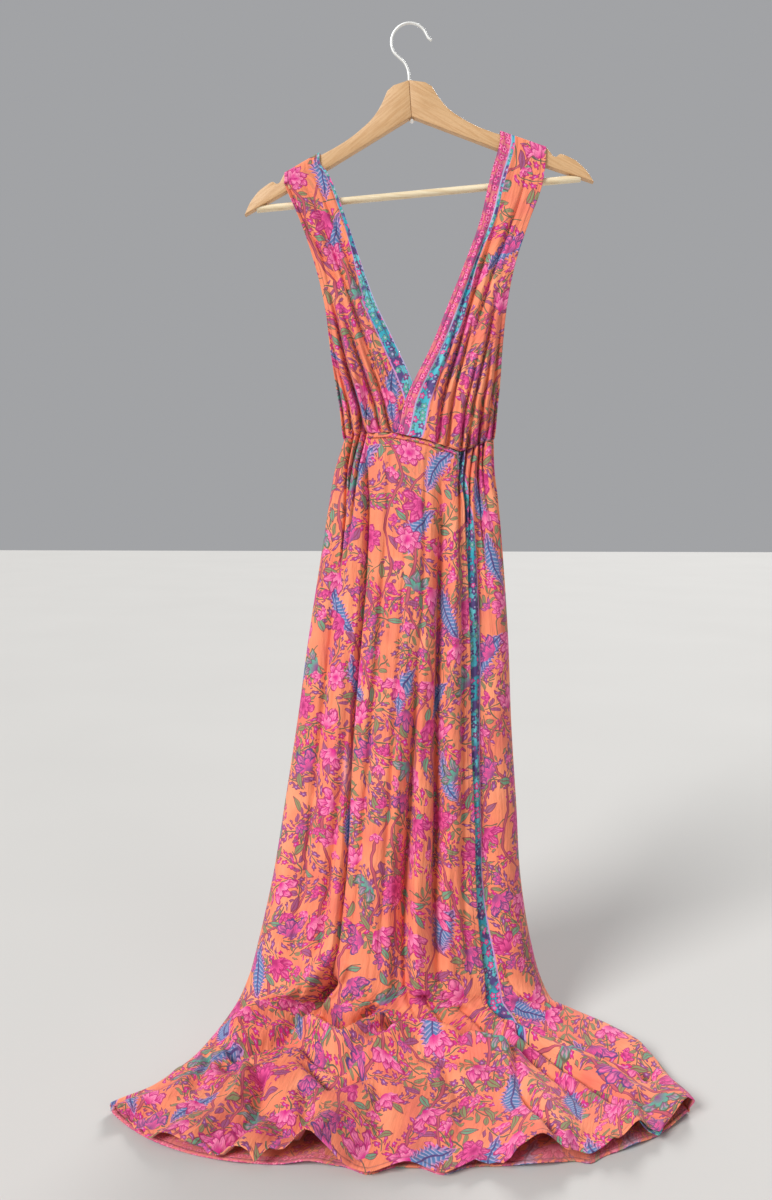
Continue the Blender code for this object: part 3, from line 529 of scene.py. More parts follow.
def deep_valley(share, drop):
    offset = (share - line_at(drop, "valley")) * half_width(drop)
    return -VALLEY_DEPTH * rise(drop, 0.01, 0.13) * rise(drop, 0.80, 0.55) * bell(offset / VALLEY_HALF_WIDTH)


def line_distance(share, drop, start, end):
    """The distance along the cloth, in metres, from a line between two (share, drop) places."""
    reach = half_width(drop)
    across, down = (share - start[0]) * reach, drop - start[1]
    run, fall = (end[0] - start[0]) * reach, end[1] - start[1]
    along = np.clip((across * run + down * fall) / (run * run + fall * fall), 0.0, 1.0)
    return np.hypot(across - along * run, down - along * fall)


def rolls(share, drop, table):
    lift = np.zeros(np.shape(share))
    for roll in table:
        middle = (roll.share_mid, roll.drop_mid)
        first = line_distance(share, drop, (roll.share, roll.drop), middle)
        second = line_distance(share, drop, middle, (roll.share_end, roll.drop_end))
        lift += roll.height * ridge(np.minimum(first, second) / roll.half_width)
    return lift


def flutes(share, drop, table):
    """(lift, forward push) of the hem's arches."""
    lift = np.zeros(np.shape(share))
    forward = np.zeros(np.shape(share))
    for f in table:
        arch = ridge((share - f.share) / f.half_share) * (1.0 - smooth((SKIRT_LENGTH - drop) / f.reach))
        lift += f.height * arch
        forward += f.forward * arch
    return lift, forward


def gathers(along, count):
    """A run of rounded gathers from 0 to 1 that dies away at both ends."""
    return -np.cos(2.0 * math.pi * count * along) * np.sin(math.pi * along) ** 0.5


def waist_gathers(share, drop, side):
    height = GATHER_HEIGHT * bell(drop / GATHER_FADE)
    if side < 0:
        return height * gathers(np.clip((share + 1.0) / 2.0, 0.0, 1.0), BACK_GATHERS)
    left = np.clip((share + 1.0) / (FLAT_LEFT + 1.0), 0.0, 1.0)
    right = np.clip((1.0 - share) / (1.0 - FLAT_RIGHT), 0.0, 1.0)
    return height * (gathers(left, SIDE_GATHERS) + gathers(right, SIDE_GATHERS))


def waist_tucks(share, drop, side):
    """Sharp tucks that the elastic draws, which fade down the skirt at uneven lengths."""
    lift = np.zeros(np.shape(share))
    draw = np.random.default_rng(CREASE_SEED + 4 + side)
    if side < 0:
        lines, uneven = np.linspace(-0.95, 0.95, BACK_TUCKS), 0.03
    else:
        lines, uneven = np.concatenate([np.linspace(-0.98, -0.72, 4), np.linspace(0.60, 0.96, 6)]), 0.012
    lines = lines + draw.uniform(-uneven, uneven, len(lines))
    half = FRONT_TUCK_HALF_WIDTH if side > 0 else BACK_TUCK_HALF_WIDTH
    for line in lines:
        reach = draw.uniform(*TUCK_REACH)
        depth = draw.uniform(*TUCK_DEPTH)
        drift = draw.uniform(-0.05, 0.05)
        offset = (share - line - drift * drop / 0.1) * half_width(drop) / half
        lift -= depth * bell(offset) * bell(drop / reach)
    return lift * smooth((1.0 - np.abs(share)) / 0.03)


def near_seam(share):
    """1 over a panel and 0 on its side seams, where two panels have to meet."""
    return smooth((1.0 - np.abs(share)) / 0.10)


def hanging_creases(seed, count):
    """Small uneven creases that run down the hanging cloth."""
    draw = np.random.default_rng(seed)
    found = []
    for _ in range(count):
        start = draw.uniform(-0.05, 0.62)
        line = draw.uniform(-0.96, 0.96)
        end, line_end = start + draw.uniform(0.08, 0.34), line + draw.normal(0.0, 0.03)
        half, height = draw.uniform(0.0035, 0.0090), draw.normal(0.0, 0.0009)
        found.append(LongFold(start, end, line, line_end, half, height))
    return tuple(found)


def lying_creases(seed, count):
    """Small creases that wander over the cloth on the floor."""
    draw = np.random.default_rng(seed)
    found = []
    for _ in range(count):
        share, drop = draw.uniform(-0.92, 0.92), draw.uniform(0.76, 1.01)
        run, fall = draw.normal(0.0, 0.06), draw.normal(0.0, 0.030)
        middle = (share + run, drop + fall + draw.normal(0.0, 0.012))
        end = (share + 2.0 * run, drop + 2.0 * fall)
        half, height = draw.uniform(0.004, 0.009), draw.normal(0.0, 0.0014)
        found.append(Roll(share, drop, *middle, *end, half, height))
    return tuple(found)


FRONT_DRAPE = FRONT_FOLDS + hanging_creases(CREASE_SEED, FRONT_CREASES)
POOL_DRAPE = ROLLS + lying_creases(CREASE_SEED + 1, POOL_CREASES)
BACK_DRAPE = BACK_FOLDS + hanging_creases(CREASE_SEED + 2, BACK_CREASES)


def skirt_front_surface(share, drop, sink=0.0):
    lift = long_folds(share, drop, FRONT_DRAPE) + rolls(share, drop, POOL_DRAPE)
    lift = (lift + side_step(share, drop) + deep_valley(share, drop)) * near_seam(share)
    lift = lift + waist_gathers(share, drop, 1) + waist_tucks(share, drop, 1)
    arch, forward = flutes(share, drop, FLUTES + SCALLOPS)
    drape = rise(drop, 0.97, 1.04) * rise(share, -0.20, -0.12) * rise(share, 0.34, 0.26)
    lift = lift + arch * near_seam(share) - sink - HEM_DRAPE_LOW * drape
    lowest = -LOWEST_SHARE * skirt_at(drop, "front")
    lift = np.where(drop > POOL_START, np.maximum(lift, lowest), lift)
    point = skirt_base(share, drop, 1) + outward(share, drop, 1) * lift[..., None]
    point[..., 1] -= (forward + HEM_DRAPE_OUT * drape) * near_seam(share)
    return point


def skirt_back_surface(share, drop):
    lift = long_folds(share, drop, BACK_DRAPE) * rise(drop, *BACK_FOLDS_END) * near_seam(share)
    lift = lift + waist_tucks(share, drop, -1) + waist_gathers(share, drop, -1)
    arch, forward = flutes(share, drop, FLUTES)
    point = skirt_base(share, drop, -1) + outward(share, drop, -1) * lift[..., None]
    point[..., 2] += BACK_FLUTE_SHARE * arch * near_seam(share)
    point[..., 1] -= forward * near_seam(share)
    return point


def hanger_point(across, up):
    """A point of the hanger's own outline, as X and Z in the frame."""
    across = across + HANGER_AXIS_X
    turn, climb = math.cos(HANGER_TILT), math.sin(HANGER_TILT)
    return across * turn - up * climb, across * climb + up * turn


def waist_seam(x, side):
    """The Y and Z of the skirt's top edge at the given X."""
    share = np.linspace(-1.0, 1.0, 401)
    top = (skirt_front_surface if side > 0 else skirt_back_surface)(share, 0.0 * share)
    at = np.maximum.accumulate(top[:, 0])
    return np.interp(x, at, top[:, 1]), np.interp(x, at, top[:, 2])


def bodice_creases(across, down, seed):
    """Fine creases that run from the strap to the waist, closer together and sharper below."""
    draw = np.random.default_rng(seed)
    lift = np.zeros(np.shape(across))
    for _ in range(BODICE_CREASES):
        line = draw.uniform(0.03, 0.97)
        lean = draw.normal(0.0, 0.05)
        start = draw.uniform(-0.1, 0.75)
        end = start + draw.uniform(0.25, 0.8)
        height = draw.normal(0.0, 0.0008)
        width = draw.uniform(0.022, 0.050)
        along = np.clip((down - start) / (end - start), 0.0, 1.0)
        swell = np.sin(math.pi * along) ** 0.6
        lift += height * swell * ridge((across - line - lean * along) / width)
    return lift


def pleats(across, down, width, table):
    """Sharp valleys with a soft rise on their far side, where the cloth folds over."""
    lift = np.zeros(np.shape(across))
    for row in table:
        along = np.clip((down - row.start) / (row.end - row.start), 0.0, 1.0)
        line = through((0.0, 0.5, 1.0), (row.first, row.middle, row.last), along)
        offset = (across - line) * width / row.half_width
        swell = row.depth * smooth(along / 0.35) * smooth((1.0 - along) / 0.08)
        lift += swell * (PLEAT_RISE * bell((offset - 2.2) / 1.3) - PLEAT_DEPTH * bell(offset))
    return lift


def strap_edge(name, place, table, hand, depth_share, down):
    """The X, Y and Z of a bodice panel's armhole or neck edge, from over the arm to the waist."""
    knots = list(np.linspace(0.0, 0.05, len(OVER_ARM_Y))) + column(table, "down")
    top_x, top_z = hanger_point(hand * place, np.interp(place, *zip(*ARM_TOP)))
    over = -np.array(OVER_ARM_Y)
    xs = [top_x] * len(over) + column(table, name + "_x")
    ys = list(over) + [over[-1] + (y - over[-1]) * depth_share for y in column(table, name + "_y")]
    zs = [top_z + up for up in OVER_ARM_Z] + column(table, name + "_z")
    return [through(knots, values, down) for values in (xs, ys, zs)]


def bodice_surface(across, down, table, pleat_table, strap, hand, side):
    """A bodice panel: across is 0 at the armhole and 1 at the neck, hand is -1 on the left.

    Its first levels pass over the hanger's arm, and the rest hang from there to the waist.
    """
    depth_share = 1.0 if side > 0 else BACK_DEPTH_SHARE
    arm, neck = (
        strap_edge(name, place, table, hand, depth_share, down)
        for name, place in zip(("arm", "neck"), strap)
    )
    x = arm[0] + (neck[0] - arm[0]) * across
    z = arm[2] + (neck[2] - arm[2]) * across
    rounding = np.sin(np.clip(across / ARMHOLE_ROUND, 0.0, 1.0) * math.pi / 2.0)
    hang = rise(down, 0.10, 0.60)
    y = arm[1] + (neck[1] - arm[1]) * (across * (1.0 - hang) + rounding * hang)
    wave = gathers(across, BODICE_GATHERS)
    height = STRAP_FOLD_HEIGHT + (BODICE_GATHER_HEIGHT - STRAP_FOLD_HEIGHT) * down**1.2
    lift = height * EVEN_WAVE * np.where(down < 0.06, 0.5 * (1.0 + wave), wave)
    low = rise(down, 0.80, 1.00)
    lift = lift * rise(down, 0.01, 0.03) * (1.0 - (1.0 - WAIST_GATHER_SHARE) * low)
    sharp = pleats(across, down, np.abs(neck[0] - arm[0]), pleat_table)
    fine = bodice_creases(across, down, CREASE_SEED + 20 + 2 * hand + side)
    fine = fine + (sharp if side > 0 else BACK_PLEAT_SHARE * sharp)
    crossing = rise(across, 0.55, 0.67) * rise(down, 0.74, 0.90)
    fine = fine * rise(down, 0.03, 0.08) * (1.0 - 0.8 * crossing)
    fine = fine * smooth(across / 0.02) * smooth((1.0 - across) / 0.04)
    lift = lift + fine * (1.0 - 0.6 * rise(down, 0.96, 1.00))
    if side < 0:
        lift = lift * (1.0 - (1.0 - BACK_GATHER_SHARE) * rise(down, 0.45, 0.80))
    seam_y, seam_z = waist_seam(x, side)
    seam_y = side * seam_y - ARMHOLE_APART - hand * WAIST_LAYER * across
    y = y + (seam_y - y) * low - lift
    z = z + (seam_z + SEAM_GAP - z) * rise(down, 0.86, 1.00)
    return np.stack([x, side * y, z], axis=-1)


def seam_share(drop, side):
    """The share at a side seam, short of 1 by half the gap between two panels."""
    rate = depth_and_corner(drop, side)[1] * math.pi / 2.0 / (1.0 - SIDE_START)
    return 1.0 - SEAM_GAP / 2.0 / rate


def front_share(place_on, drop):
    """The left and middle front, from the left seam to its free edge, in columns along its folds."""
    lines = [0.0 * drop - 1.0, 0.0 * drop - SIDE_START]
    lines += [line_at(drop, name) for name in ("crease", "valley", "edge")]
    share = np.zeros(np.shape(place_on))
    for start, end, left, right in zip(PANEL_KNOTS, PANEL_KNOTS[1:], lines, lines[1:]):
        t = (place_on - start) / (end - start)
        share = np.where((t >= 0.0) & (t <= 1.0), left + (right - left) * t, share)
    return np.maximum(share, -seam_share(drop, 1))


def under_share(place_on, drop):
    """The right front, from its border under the free edge to the right seam."""
    edge = line_at(drop, "edge")
    start = edge - UNDERLAP / half_width(drop)
    under = start + (edge - start) * place_on / UNDER_KNOT
    beyond = edge + (1.0 - edge) * (place_on - UNDER_KNOT) / (1.0 - UNDER_KNOT)
    return np.minimum(np.where(place_on < UNDER_KNOT, under, beyond), seam_share(drop, 1))


def back_share(place_on, drop):
    limit = seam_share(drop, -1)
    return np.clip(place_on, -limit, limit)


def under_surface(share, drop):
    beyond = (share - line_at(drop, "edge")) * half_width(drop)
    return skirt_front_surface(share, drop, UNDER_STEP * (1.0 - smooth((beyond - 0.004) / UNDER_EASE)))


def lengths(points, axis):
    """The distance run along a grid of points, from its first row or column."""
    steps = np.linalg.norm(np.diff(points, axis=axis), axis=-1)
    start = np.zeros_like(np.take(steps, [0], axis=axis))
    return np.concatenate([start, np.cumsum(steps, axis=axis)], axis=axis)


def evened(values, axis, reach):
    """Each value's mean over its neighbours along an axis, as many as reach on both sides."""
    share = np.full(2 * reach + 1, 1.0 / (2 * reach + 1))
    return np.apply_along_axis(
        lambda line: np.convolve(np.pad(line, reach, mode="edge"), share, "valid"), axis, values
    )


def printed_lengths(points, plain, drop):
    """The distances along a panel's rows and columns that its print is laid by.

    Where the cloth hangs they follow its folds. On the floor they lie between the folds and the
    plain form and change little from one row or column to the next, so the print isn't slanted.
    """
    follows = np.maximum(rise(drop, 0.76, 0.58), PRINT_FOLLOWS)
    run, fall = lengths(plain, 1), lengths(plain, 0)
    run = run + (evened(lengths(points, 1), 0, PRINT_ROWS) - run) * follows
    return run, fall + (evened(lengths(points, 0), 1, PRINT_COLUMNS) - fall) * 0.8


def spread(*stretches):
    """Places from several stretches, each (start, end, steps), without doubles."""
    found = np.concatenate([np.linspace(start, end, steps + 1) for start, end, steps in stretches])
    return np.array(sorted({round(float(value), 6) for value in found}))


def linear(red, green, blue):
    """A colour picked as 0 to 255 on screen, as the values that the shader works with."""
    shares = (value / 255.0 for value in (red, green, blue))
    return (*(v / 12.92 if v <= 0.04045 else ((v + 0.055) / 1.055) ** 2.4 for v in shares), 1.0)


def joined(operation, turned=False):
    """The method for a sum, a product and so on of two signals, or of a signal and a number."""
    def method(signal, other):
        first, second = (other, signal) if turned else (signal, other)
        return signal.graph.join(operation, first, second)

    return method


class Signal:
    """A value in a shader tree, with which ordinary formulas can be written."""

    def __init__(self, graph, socket):
        self.graph = graph
        self.socket = socket

    __add__, __radd__ = joined("ADD"), joined("ADD", True)
    __sub__, __rsub__ = joined("SUBTRACT"), joined("SUBTRACT", True)
    __mul__, __rmul__ = joined("MULTIPLY"), joined("MULTIPLY", True)
    __truediv__ = joined("DIVIDE")
    __pow__ = joined("POWER")

    def __abs__(self):
        return self.graph.math("ABSOLUTE", self)

    def step(self, start, end):
        """A soft mask that goes from 0 at start to 1 at end."""
        given = {"Value": self, "From Min": start, "From Max": end}
        return self.graph.result("MapRange", given, interpolation_type="SMOOTHSTEP")

    def is_vector(self):
        return self.socket.type != "VALUE"


class Graph:
    """Adds shader nodes to a tree in the order in which they are worked out."""

    def __init__(self, tree):
        self.tree = tree

    def feed(self, node, inputs):
        for name, value in inputs.items():
            if isinstance(value, Signal):
                self.tree.links.new(value.socket, node.inputs[name])
            else:
                node.inputs[name].default_value = value

    def results(self, kind, inputs, *outputs, **settings):
        """The given outputs of a new node, each by its name or number."""
        made = self.tree.nodes.new("ShaderNode" + kind)
        for name, value in settings.items():
            setattr(made, name, value)
        self.feed(made, inputs)
        return [Signal(self, made.outputs[output]) for output in outputs]

    def result(self, kind, inputs, output=0, **settings):
        return self.results(kind, inputs, output, **settings)[0]

    def math(self, operation, *values):
        return self.result("Math", dict(enumerate(values)), operation=operation)

    def join(self, operation, first, second):
        """A sum, product and so on, of vectors where a signal is one. They are scaled by a number."""
        vectors = [v.is_vector() if isinstance(v, Signal) else isinstance(v, tuple)
                   for v in (first, second)]
        if not any(vectors):
            return self.math(operation, first, second)
        if all(vectors):
            return self.result("VectorMath", {0: first, 1: second}, operation=operation)
        return self.result("VectorMath", {0: first, "Scale": second}, operation="SCALE")

    def mix(self, share, first, second, blend="MIX"):
        colours = {0: share, 6: first, 7: second}
        return self.result("Mix", colours, 2, data_type="RGBA", blend_type=blend)

    def noise(self, vector, scale, detail, dimensions="2D", roughness=0.5):
        """A noise as one value, and as three in a colour."""
        given = {"Vector": vector, "Scale": scale, "Detail": detail, "Roughness": roughness}
        return self.results("TexNoise", given, 0, "Color", noise_dimensions=dimensions)

    def parts(self, vector):
        return self.results("SeparateXYZ", {0: vector}, "X", "Y", "Z")

    def group(self, tree, *values):
        made = self.tree.nodes.new("ShaderNodeGroup")
        made.node_tree = tree
        self.feed(made, dict(enumerate(values)))
        return [Signal(self, socket) for socket in made.outputs]

    def bump(self, height, distance, strength=1.0):
        return self.result("Bump", {"Height": height, "Distance": distance, "Strength": strength})


SOCKET_KINDS = {"Cloth": "Vector", "Wood": "Vector", "Color": "Color"}


def effect(name, inputs, outputs, draw):
    """A shader node group, made once: draw(graph, *inputs) gives its outputs in order."""
    tree = bpy.data.node_groups.get(name)
    if tree is None:
        tree = bpy.data.node_groups.new(name, "ShaderNodeTree")
        for labels, way in ((inputs, "INPUT"), (outputs, "OUTPUT")):
            for label in labels.split():
                kind = "NodeSocket" + SOCKET_KINDS.get(label, "Float")
                tree.interface.new_socket(label, in_out=way, socket_type=kind)
        graph = Graph(tree)
        given = tree.nodes.new("NodeGroupInput").outputs
        found = draw(graph, *(Signal(graph, given[label]) for label in inputs.split()))
        graph.feed(tree.nodes.new("NodeGroupOutput"), dict(enumerate(found)))
    return tree


# The print's layers: the size of a cell in metres, how unevenly the cells lie, one motif's
# length, and the angle and swing of its direction
Layer = namedtuple("Layer", "cell uneven length turn swing shift")
LEAF_TWIGS = Layer(0.0370, 0.80, 0.0205, 0.0, 6.283, 0.00)
BLOSSOM_TWIGS = Layer(0.0370, 0.80, 0.0205, 0.0, 6.283, 0.31)
SINGLE_LEAVES = Layer(0.0350, 0.85, 0.0115, 0.0, 6.283, 0.67)
BUDS = Layer(0.0400, 0.80, 0.0095, 0.6, 3.400, 0.83)
PLUMES = Layer(0.0980, 0.60, 0.0345, 0.8, 1.500, 0.11)
FLOWERS = Layer(0.0580, 0.60, 0.0200, 0.3, 4.400, 0.47)
EDGE_FLOWERS = Layer(0.0098, 0.60, 0.0050, 0.0, 6.283, 0.59)

STEM_REPEAT = (0.130, 0.430)
Vine = namedtuple("Vine", "x sway phase second second_phase")
VINES = rows(Vine, (0.034, 0.026, 0.4, 0.011, 1.9), (0.098, 0.022, 2.9, -0.013, 0.3))

# The kinds of flowers, by the share of cells that each takes up to, and their colours
FlowerKind = namedtuple("FlowerKind", "up_to line base tip")
FLOWER_KINDS = rows(
    FlowerKind,
    (0.42, "deep", "magenta", "pink"),
    (0.66, "deep", "deep", "rose"),
    (0.85, "indigo", "purple", "rose"),
    (1.00, "olive_dark", "purple", "emerald"),
)
SIDE_ROOT = 0.55
SIDE_PETALS = 1.45
OPEN_PETALS = 7.0 / (2.0 * math.pi)
MIDDLE_GREY = (0.5, 0.5, 0.5)
LINE_EASE = 0.0003

PRINT_COLOURS = {
    "ground": linear(236, 136, 100),
    "ground_warm": linear(226, 118, 96),
    "ground_pale": linear(240, 150, 112),
    "maroon": linear(142, 60, 80),
    "stem": linear(186, 84, 100),
    "olive": linear(134, 138, 96),
    "olive_dark": linear(96, 98, 78),
    "sage": linear(112, 152, 122),
    "mauve": linear(158, 84, 126),
    "pink": linear(244, 138, 176),
    "rose": linear(228, 84, 148),
    "magenta": linear(206, 38, 128),
    "deep": linear(170, 38, 106),
    "purple": linear(138, 72, 124),
    "indigo": linear(84, 68, 122),
    "blue": linear(84, 118, 166),
    "lavender": linear(172, 166, 198),
    "lilac": linear(196, 138, 190),
    "teal": linear(52, 160, 178),
    "teal_pale": linear(102, 190, 198),
    "emerald": linear(86, 168, 144),
    "lace": linear(222, 118, 126),
}


class Paint:
    """A colour on which masks lay others, from the ground up. A name stands for a print colour."""

    def __init__(self, graph, colour):
        self.graph = graph
        self.colour = PRINT_COLOURS[colour] if isinstance(colour, str) else colour

    def lay(self, mask, colour):
        over = colour if isinstance(colour, Paint) else Paint(self.graph, colour)
        self.colour = self.graph.mix(mask, self.colour, over.colour)
        return self


def five_petals(graph, x, y, depth, inside):
    """The distance from the middle of a small flower with five petals, 1 on its outline."""
    wave = abs(graph.math("COSINE", graph.math("ARCTAN2", y, x) * 2.5))
    return graph.math("SQRT", x * x + y * y) / (wave * depth + inside)


def draw_scatter(graph, cloth, scale, uneven, grow, turn, swing):
    """A place as seen from the middle of its own cell, turned at random, in motif lengths."""
    middle, colour = graph.results(
        "TexVoronoi", {"Vector": cloth, "Scale": scale, "Randomness": uneven}, "Position", "Color",
        voronoi_dimensions="2D", feature="F1",
    )
    tint, chance, chosen = graph.parts(colour)
    angle = chosen * swing + turn
    spun = graph.result(
        "VectorRotate", {"Vector": cloth - middle, "Angle": angle}, rotation_type="Z_AXIS"
    )
    x, y, _ = graph.parts(spun * grow)
    return x, y, tint, chance


def draw_twig(graph, x, y):
    """A bent twig with pairs of leaves, or of blossoms in their place."""
    away = abs(y - x * x * 0.30)
    beyond = abs(x) - 0.86
    pair = graph.math("WRAP", x - away * 0.9, 0.29, -0.29)
    rib = abs(pair)
    leaf = rib - (away - 0.05) * (0.56 - away) * 2.9
    blossom = five_petals(graph, pair, away - 0.30, 0.12, 0.12)
    return [graph.math("MAXIMUM", leaf, beyond), rib] + [
        graph.math("MAXIMUM", shape, beyond) for shape in (away, blossom)
    ]


def draw_plume(graph, x, y):
    """A curved feather whose barbs end in a saw-toothed rim."""
    square = x * x
    away = abs(y / 0.32 - square * 0.55 + 0.22)
    barb = graph.math("FRACT", x * 6.5 - away * 1.3)
    return away * (barb * 0.46 + 0.80) + square * 0.92, barb, away


def draw_flower(graph, x, y, side):
    """Two rows of pointed petals, all round or, with side at 1, as a fan from their root."""
    x = x + side * SIDE_ROOT
    angle = graph.math("ARCTAN2", y, x)
    reach = graph.math("SQRT", x * x + y * y) / (side * 0.50 + 1.0)
    rate = side * (SIDE_PETALS - OPEN_PETALS) + OPEN_PETALS
    off_petal = graph.math("PINGPONG", angle * rate, 0.5) * 2.0
    outer = reach / (1.0 - off_petal**1.4 * 0.40)
    outer = graph.math("MAXIMUM", outer, abs(angle) / (4.2 - side * 3.15))
    inner = reach / (0.64 - (1.0 - off_petal) ** 1.4 * 0.26)
    return outer, inner, reach, abs(graph.math("SINE", angle * 16.0))


def draw_crepe(graph, cloth, crinkle, weave):
    """Crinkle and weave of the crepe: a height in metres, and a tone made of the threads' own lightness plus
    painted shade on the crinkles, lighter on their crests and darker in their hollows.
    """
    drawn_out = graph.result("Mapping", {"Vector": cloth, "Scale": (1.0, 0.16, 1.0)})
    folds, _ = graph.noise(drawn_out, 210.0, 2.0)
    threads, _ = graph.noise(drawn_out, 900.0, 1.0)
    # Tone: the thread noise is the threads' own lightness; the crinkle noise, the same one as the crinkle
    # height, is painted shade.
    return threads * weave + folds * crinkle, threads * 0.16 + folds * 0.30 + 0.88


def draw_grain(graph, wood):
    rings, _ = graph.noise(wood, 1.0, 3.0, "3D", 0.55)
    pores, _ = graph.noise(wood * 6.0, 1.0, 2.0, "3D", 0.6)
    return rings, pores.step(0.60, 0.72)


def by_kind(graph, tint, name):
    """The named colour of the kind of flower that a cell's tint stands for."""
    paint = Paint(graph, getattr(FLOWER_KINDS[0], name))
    for before, kind in zip(FLOWER_KINDS, FLOWER_KINDS[1:]):
        paint.lay(graph.math("GREATER_THAN", tint, before.up_to), getattr(kind, name))
    return paint.colour


def scattered(graph, cloth, layer):
    """A layer's own X, Y, tint and chance at every place of the cloth."""
    scatter = effect("Scatter", "Cloth Scale Uneven Grow Turn Swing", "X Y Tint Chance", draw_scatter)
    moved = cloth + (layer.shift, 0.7 * layer.shift, 0.0)
    given = (1.0 / layer.cell, layer.uneven, 1.0 / layer.length, layer.turn, layer.swing)
    return graph.group(scatter, moved, *given)


def flower_paint(graph, x, y, tint, side, fade):
    """(mask, colour) of a flower: streaked petals, darker at their root and at their rims."""
    flower = effect("Flower", "X Y Side", "Outer Inner Reach Streak", draw_flower)
    outer, inner, reach, streak = graph.group(flower, x, y, side)
    line, base, tip = (by_kind(graph, tint, name) for name in ("line", "base", "tip"))
    middle = Paint(graph, base).lay(reach.step(0.05, 0.46), tip)
    middle.lay(streak.step(0.40, 0.10) * fade, base).lay(inner.step(0.84, 0.94), line)
    body = Paint(graph, base).lay(reach.step(0.35, 1.05), tip)
    body.lay(streak.step(0.34, 0.06) * fade, line)
    body.lay(streak.step(0.76, 0.96) * reach.step(0.40, 0.66) * 0.40, "pink")
    body.lay(outer.step(0.86, 0.95), line).lay(inner.step(1.02, 0.97), middle)
    return outer.step(1.04, 0.98), body


def lay_twigs(graph, paint, drawn):
    """Twigs with pairs of leaves, and over them twigs with small blossoms."""
    twig = effect("Twig", "X Y", "Leaf Rib Stem Blossom", draw_twig)
    x, y, tint, chance = scattered(graph, drawn, LEAF_TWIGS)
    leaf, rib, stem, _ = graph.group(twig, x, y)
    shown = chance.step(0.26, 0.28)
    paint.lay(stem.step(0.050, 0.030) * shown, "olive_dark")
    fill = Paint(graph, "olive").lay(tint.step(0.76, 0.78), "mauve")
    fill.lay(rib.step(0.022, 0.008), "maroon").lay(leaf.step(-0.042, -0.024), "maroon")
    paint.lay(leaf.step(0.006, -0.006) * shown, fill)

    x, y, tint, chance = scattered(graph, drawn, BLOSSOM_TWIGS)
    _, _, stem, blossom = graph.group(twig, x, y)
    blossom = blossom + chance.step(0.14, 0.12) * 9.0
    paint.lay(stem.step(0.045, 0.025), "olive_dark")
    fill = Paint(graph, "magenta").lay(tint.step(0.30, 0.70), "purple")
    fill.lay(blossom.step(0.72, 0.95), "maroon").lay(blossom.step(0.34, 0.18), "lilac")
    paint.lay(blossom.step(1.05, 0.97), fill)


def lay_stems(graph, paint, drawn):
    """Stems that run the length of the cloth."""
    across, down, _ = graph.parts(drawn)
    turn = down * (2.0 * math.pi / STEM_REPEAT[1])
    found = []
    for vine in VINES:
        sway = graph.math("SINE", turn + vine.phase) * vine.sway
        second = graph.math("SINE", turn * 3.0 + vine.second_phase) * vine.second
        away = across - vine.x - sway - second
        found.append(abs(graph.math("WRAP", away, STEM_REPEAT[0] / 2.0, -STEM_REPEAT[0] / 2.0)))
    stems = graph.math("MINIMUM", *found)
    paint.lay(stems.step(0.0024, 0.0018), "maroon").lay(stems.step(0.0015, 0.0009), "stem")


def lay_leaves_and_buds(graph, paint, drawn):
    """Single leaves with a midrib, and magenta buds."""
    x, y, tint, chance = scattered(graph, drawn, SINGLE_LEAVES)
    away = abs(y + x * x * 0.16)
    leaf = away * 2.6 + x * x
    fill = Paint(graph, "sage").lay(tint.step(0.38, 0.40), "olive").lay(tint.step(0.80, 0.82), "mauve")
    fill.lay(away.step(0.050, 0.025), "maroon").lay(leaf.step(0.76, 0.86), "maroon")
    paint.lay(leaf.step(1.05, 0.97) * chance.step(0.30, 0.32), fill)

    x, y, tint, chance = scattered(graph, drawn, BUDS)
    mask, fill = flower_paint(graph, x, y, tint * 0.80, 1.0, 0.5)
    paint.lay(mask * chance.step(0.34, 0.36), fill)


def lay_feathers(graph, paint, drawn):
    """Blue feathers with pale barbs and a lilac fringe."""
    plume = effect("Plume", "X Y", "Shape Barb Away", draw_plume)
    x, y, tint, chance = scattered(graph, drawn, PLUMES)
    shape, barb, away = graph.group(plume, x, y)
    fill = Paint(graph, "blue").lay(barb.step(0.50, 0.95), "lavender")
    fill.lay(away.step(0.14, 0.07), "indigo").lay(shape.step(0.62, 0.90) * tint * 0.6, "pink")
    fill.lay(shape.step(0.86, 0.94), "indigo")
    shown = chance.step(0.50, 0.52)
    paint.lay(shape.step(1.16, 1.09) * shown, "lilac").lay(shape.step(1.04, 0.98) * shown, fill)


def lay_flowers(graph, paint, drawn, cloth):
    """Large flowers: pink ones from the side, open ones, purple ones and green rosettes."""
    _, ragged = graph.noise(cloth, 130.0, 1.0)
    x, y, tint, chance = scattered(graph, drawn + (ragged - MIDDLE_GREY) * 0.0060, FLOWERS)
    side = 1.0 - tint.step(0.395, 0.405) * tint.step(0.505, 0.495)
    mask, fill = flower_paint(graph, x, y, tint, side, 0.8)
    paint.lay(mask * chance.step(0.14, 0.16), fill)


def lay_border(graph, paint, drawn, border, patches, wander):
    """A pink strip, a fine line, a teal strip and another fine line."""
    x, y, tint, _ = scattered(graph, drawn, EDGE_FLOWERS)
    shape = five_petals(graph, x, y, 0.42, 0.55)
    flower = Paint(graph, "emerald").lay(tint.step(0.30, 0.32), "indigo")
    flower.lay(tint.step(0.55, 0.57), "rose").lay(tint.step(0.80, 0.82), "purple")
    flower.lay(shape.step(0.40, 0.25), "lavender").lay(shape.step(0.74, 0.90), "indigo")
    strip = Paint(graph, "teal").lay(patches.step(0.40, 0.60), "teal_pale")
    strip.lay(wander.step(0.50, 0.62), "indigo").lay(shape.step(1.05, 0.95), flower)
    lace = Paint(graph, "lace").lay(wander.step(0.42, 0.66), "mauve")
    lace.lay(shape.step(1.05, 0.95), "magenta").lay(shape.step(0.70, 0.60), "pink")
    lace.lay(shape.step(0.36, 0.26), "deep")
    for end, fill in (
        (BORDER_END, "lilac"), (BORDER_TEAL, strip), (BORDER_LINE, "lavender"), (BORDER_PINK, lace)
    ):
        paint.lay(border.step(end + LINE_EASE, end - LINE_EASE), fill)


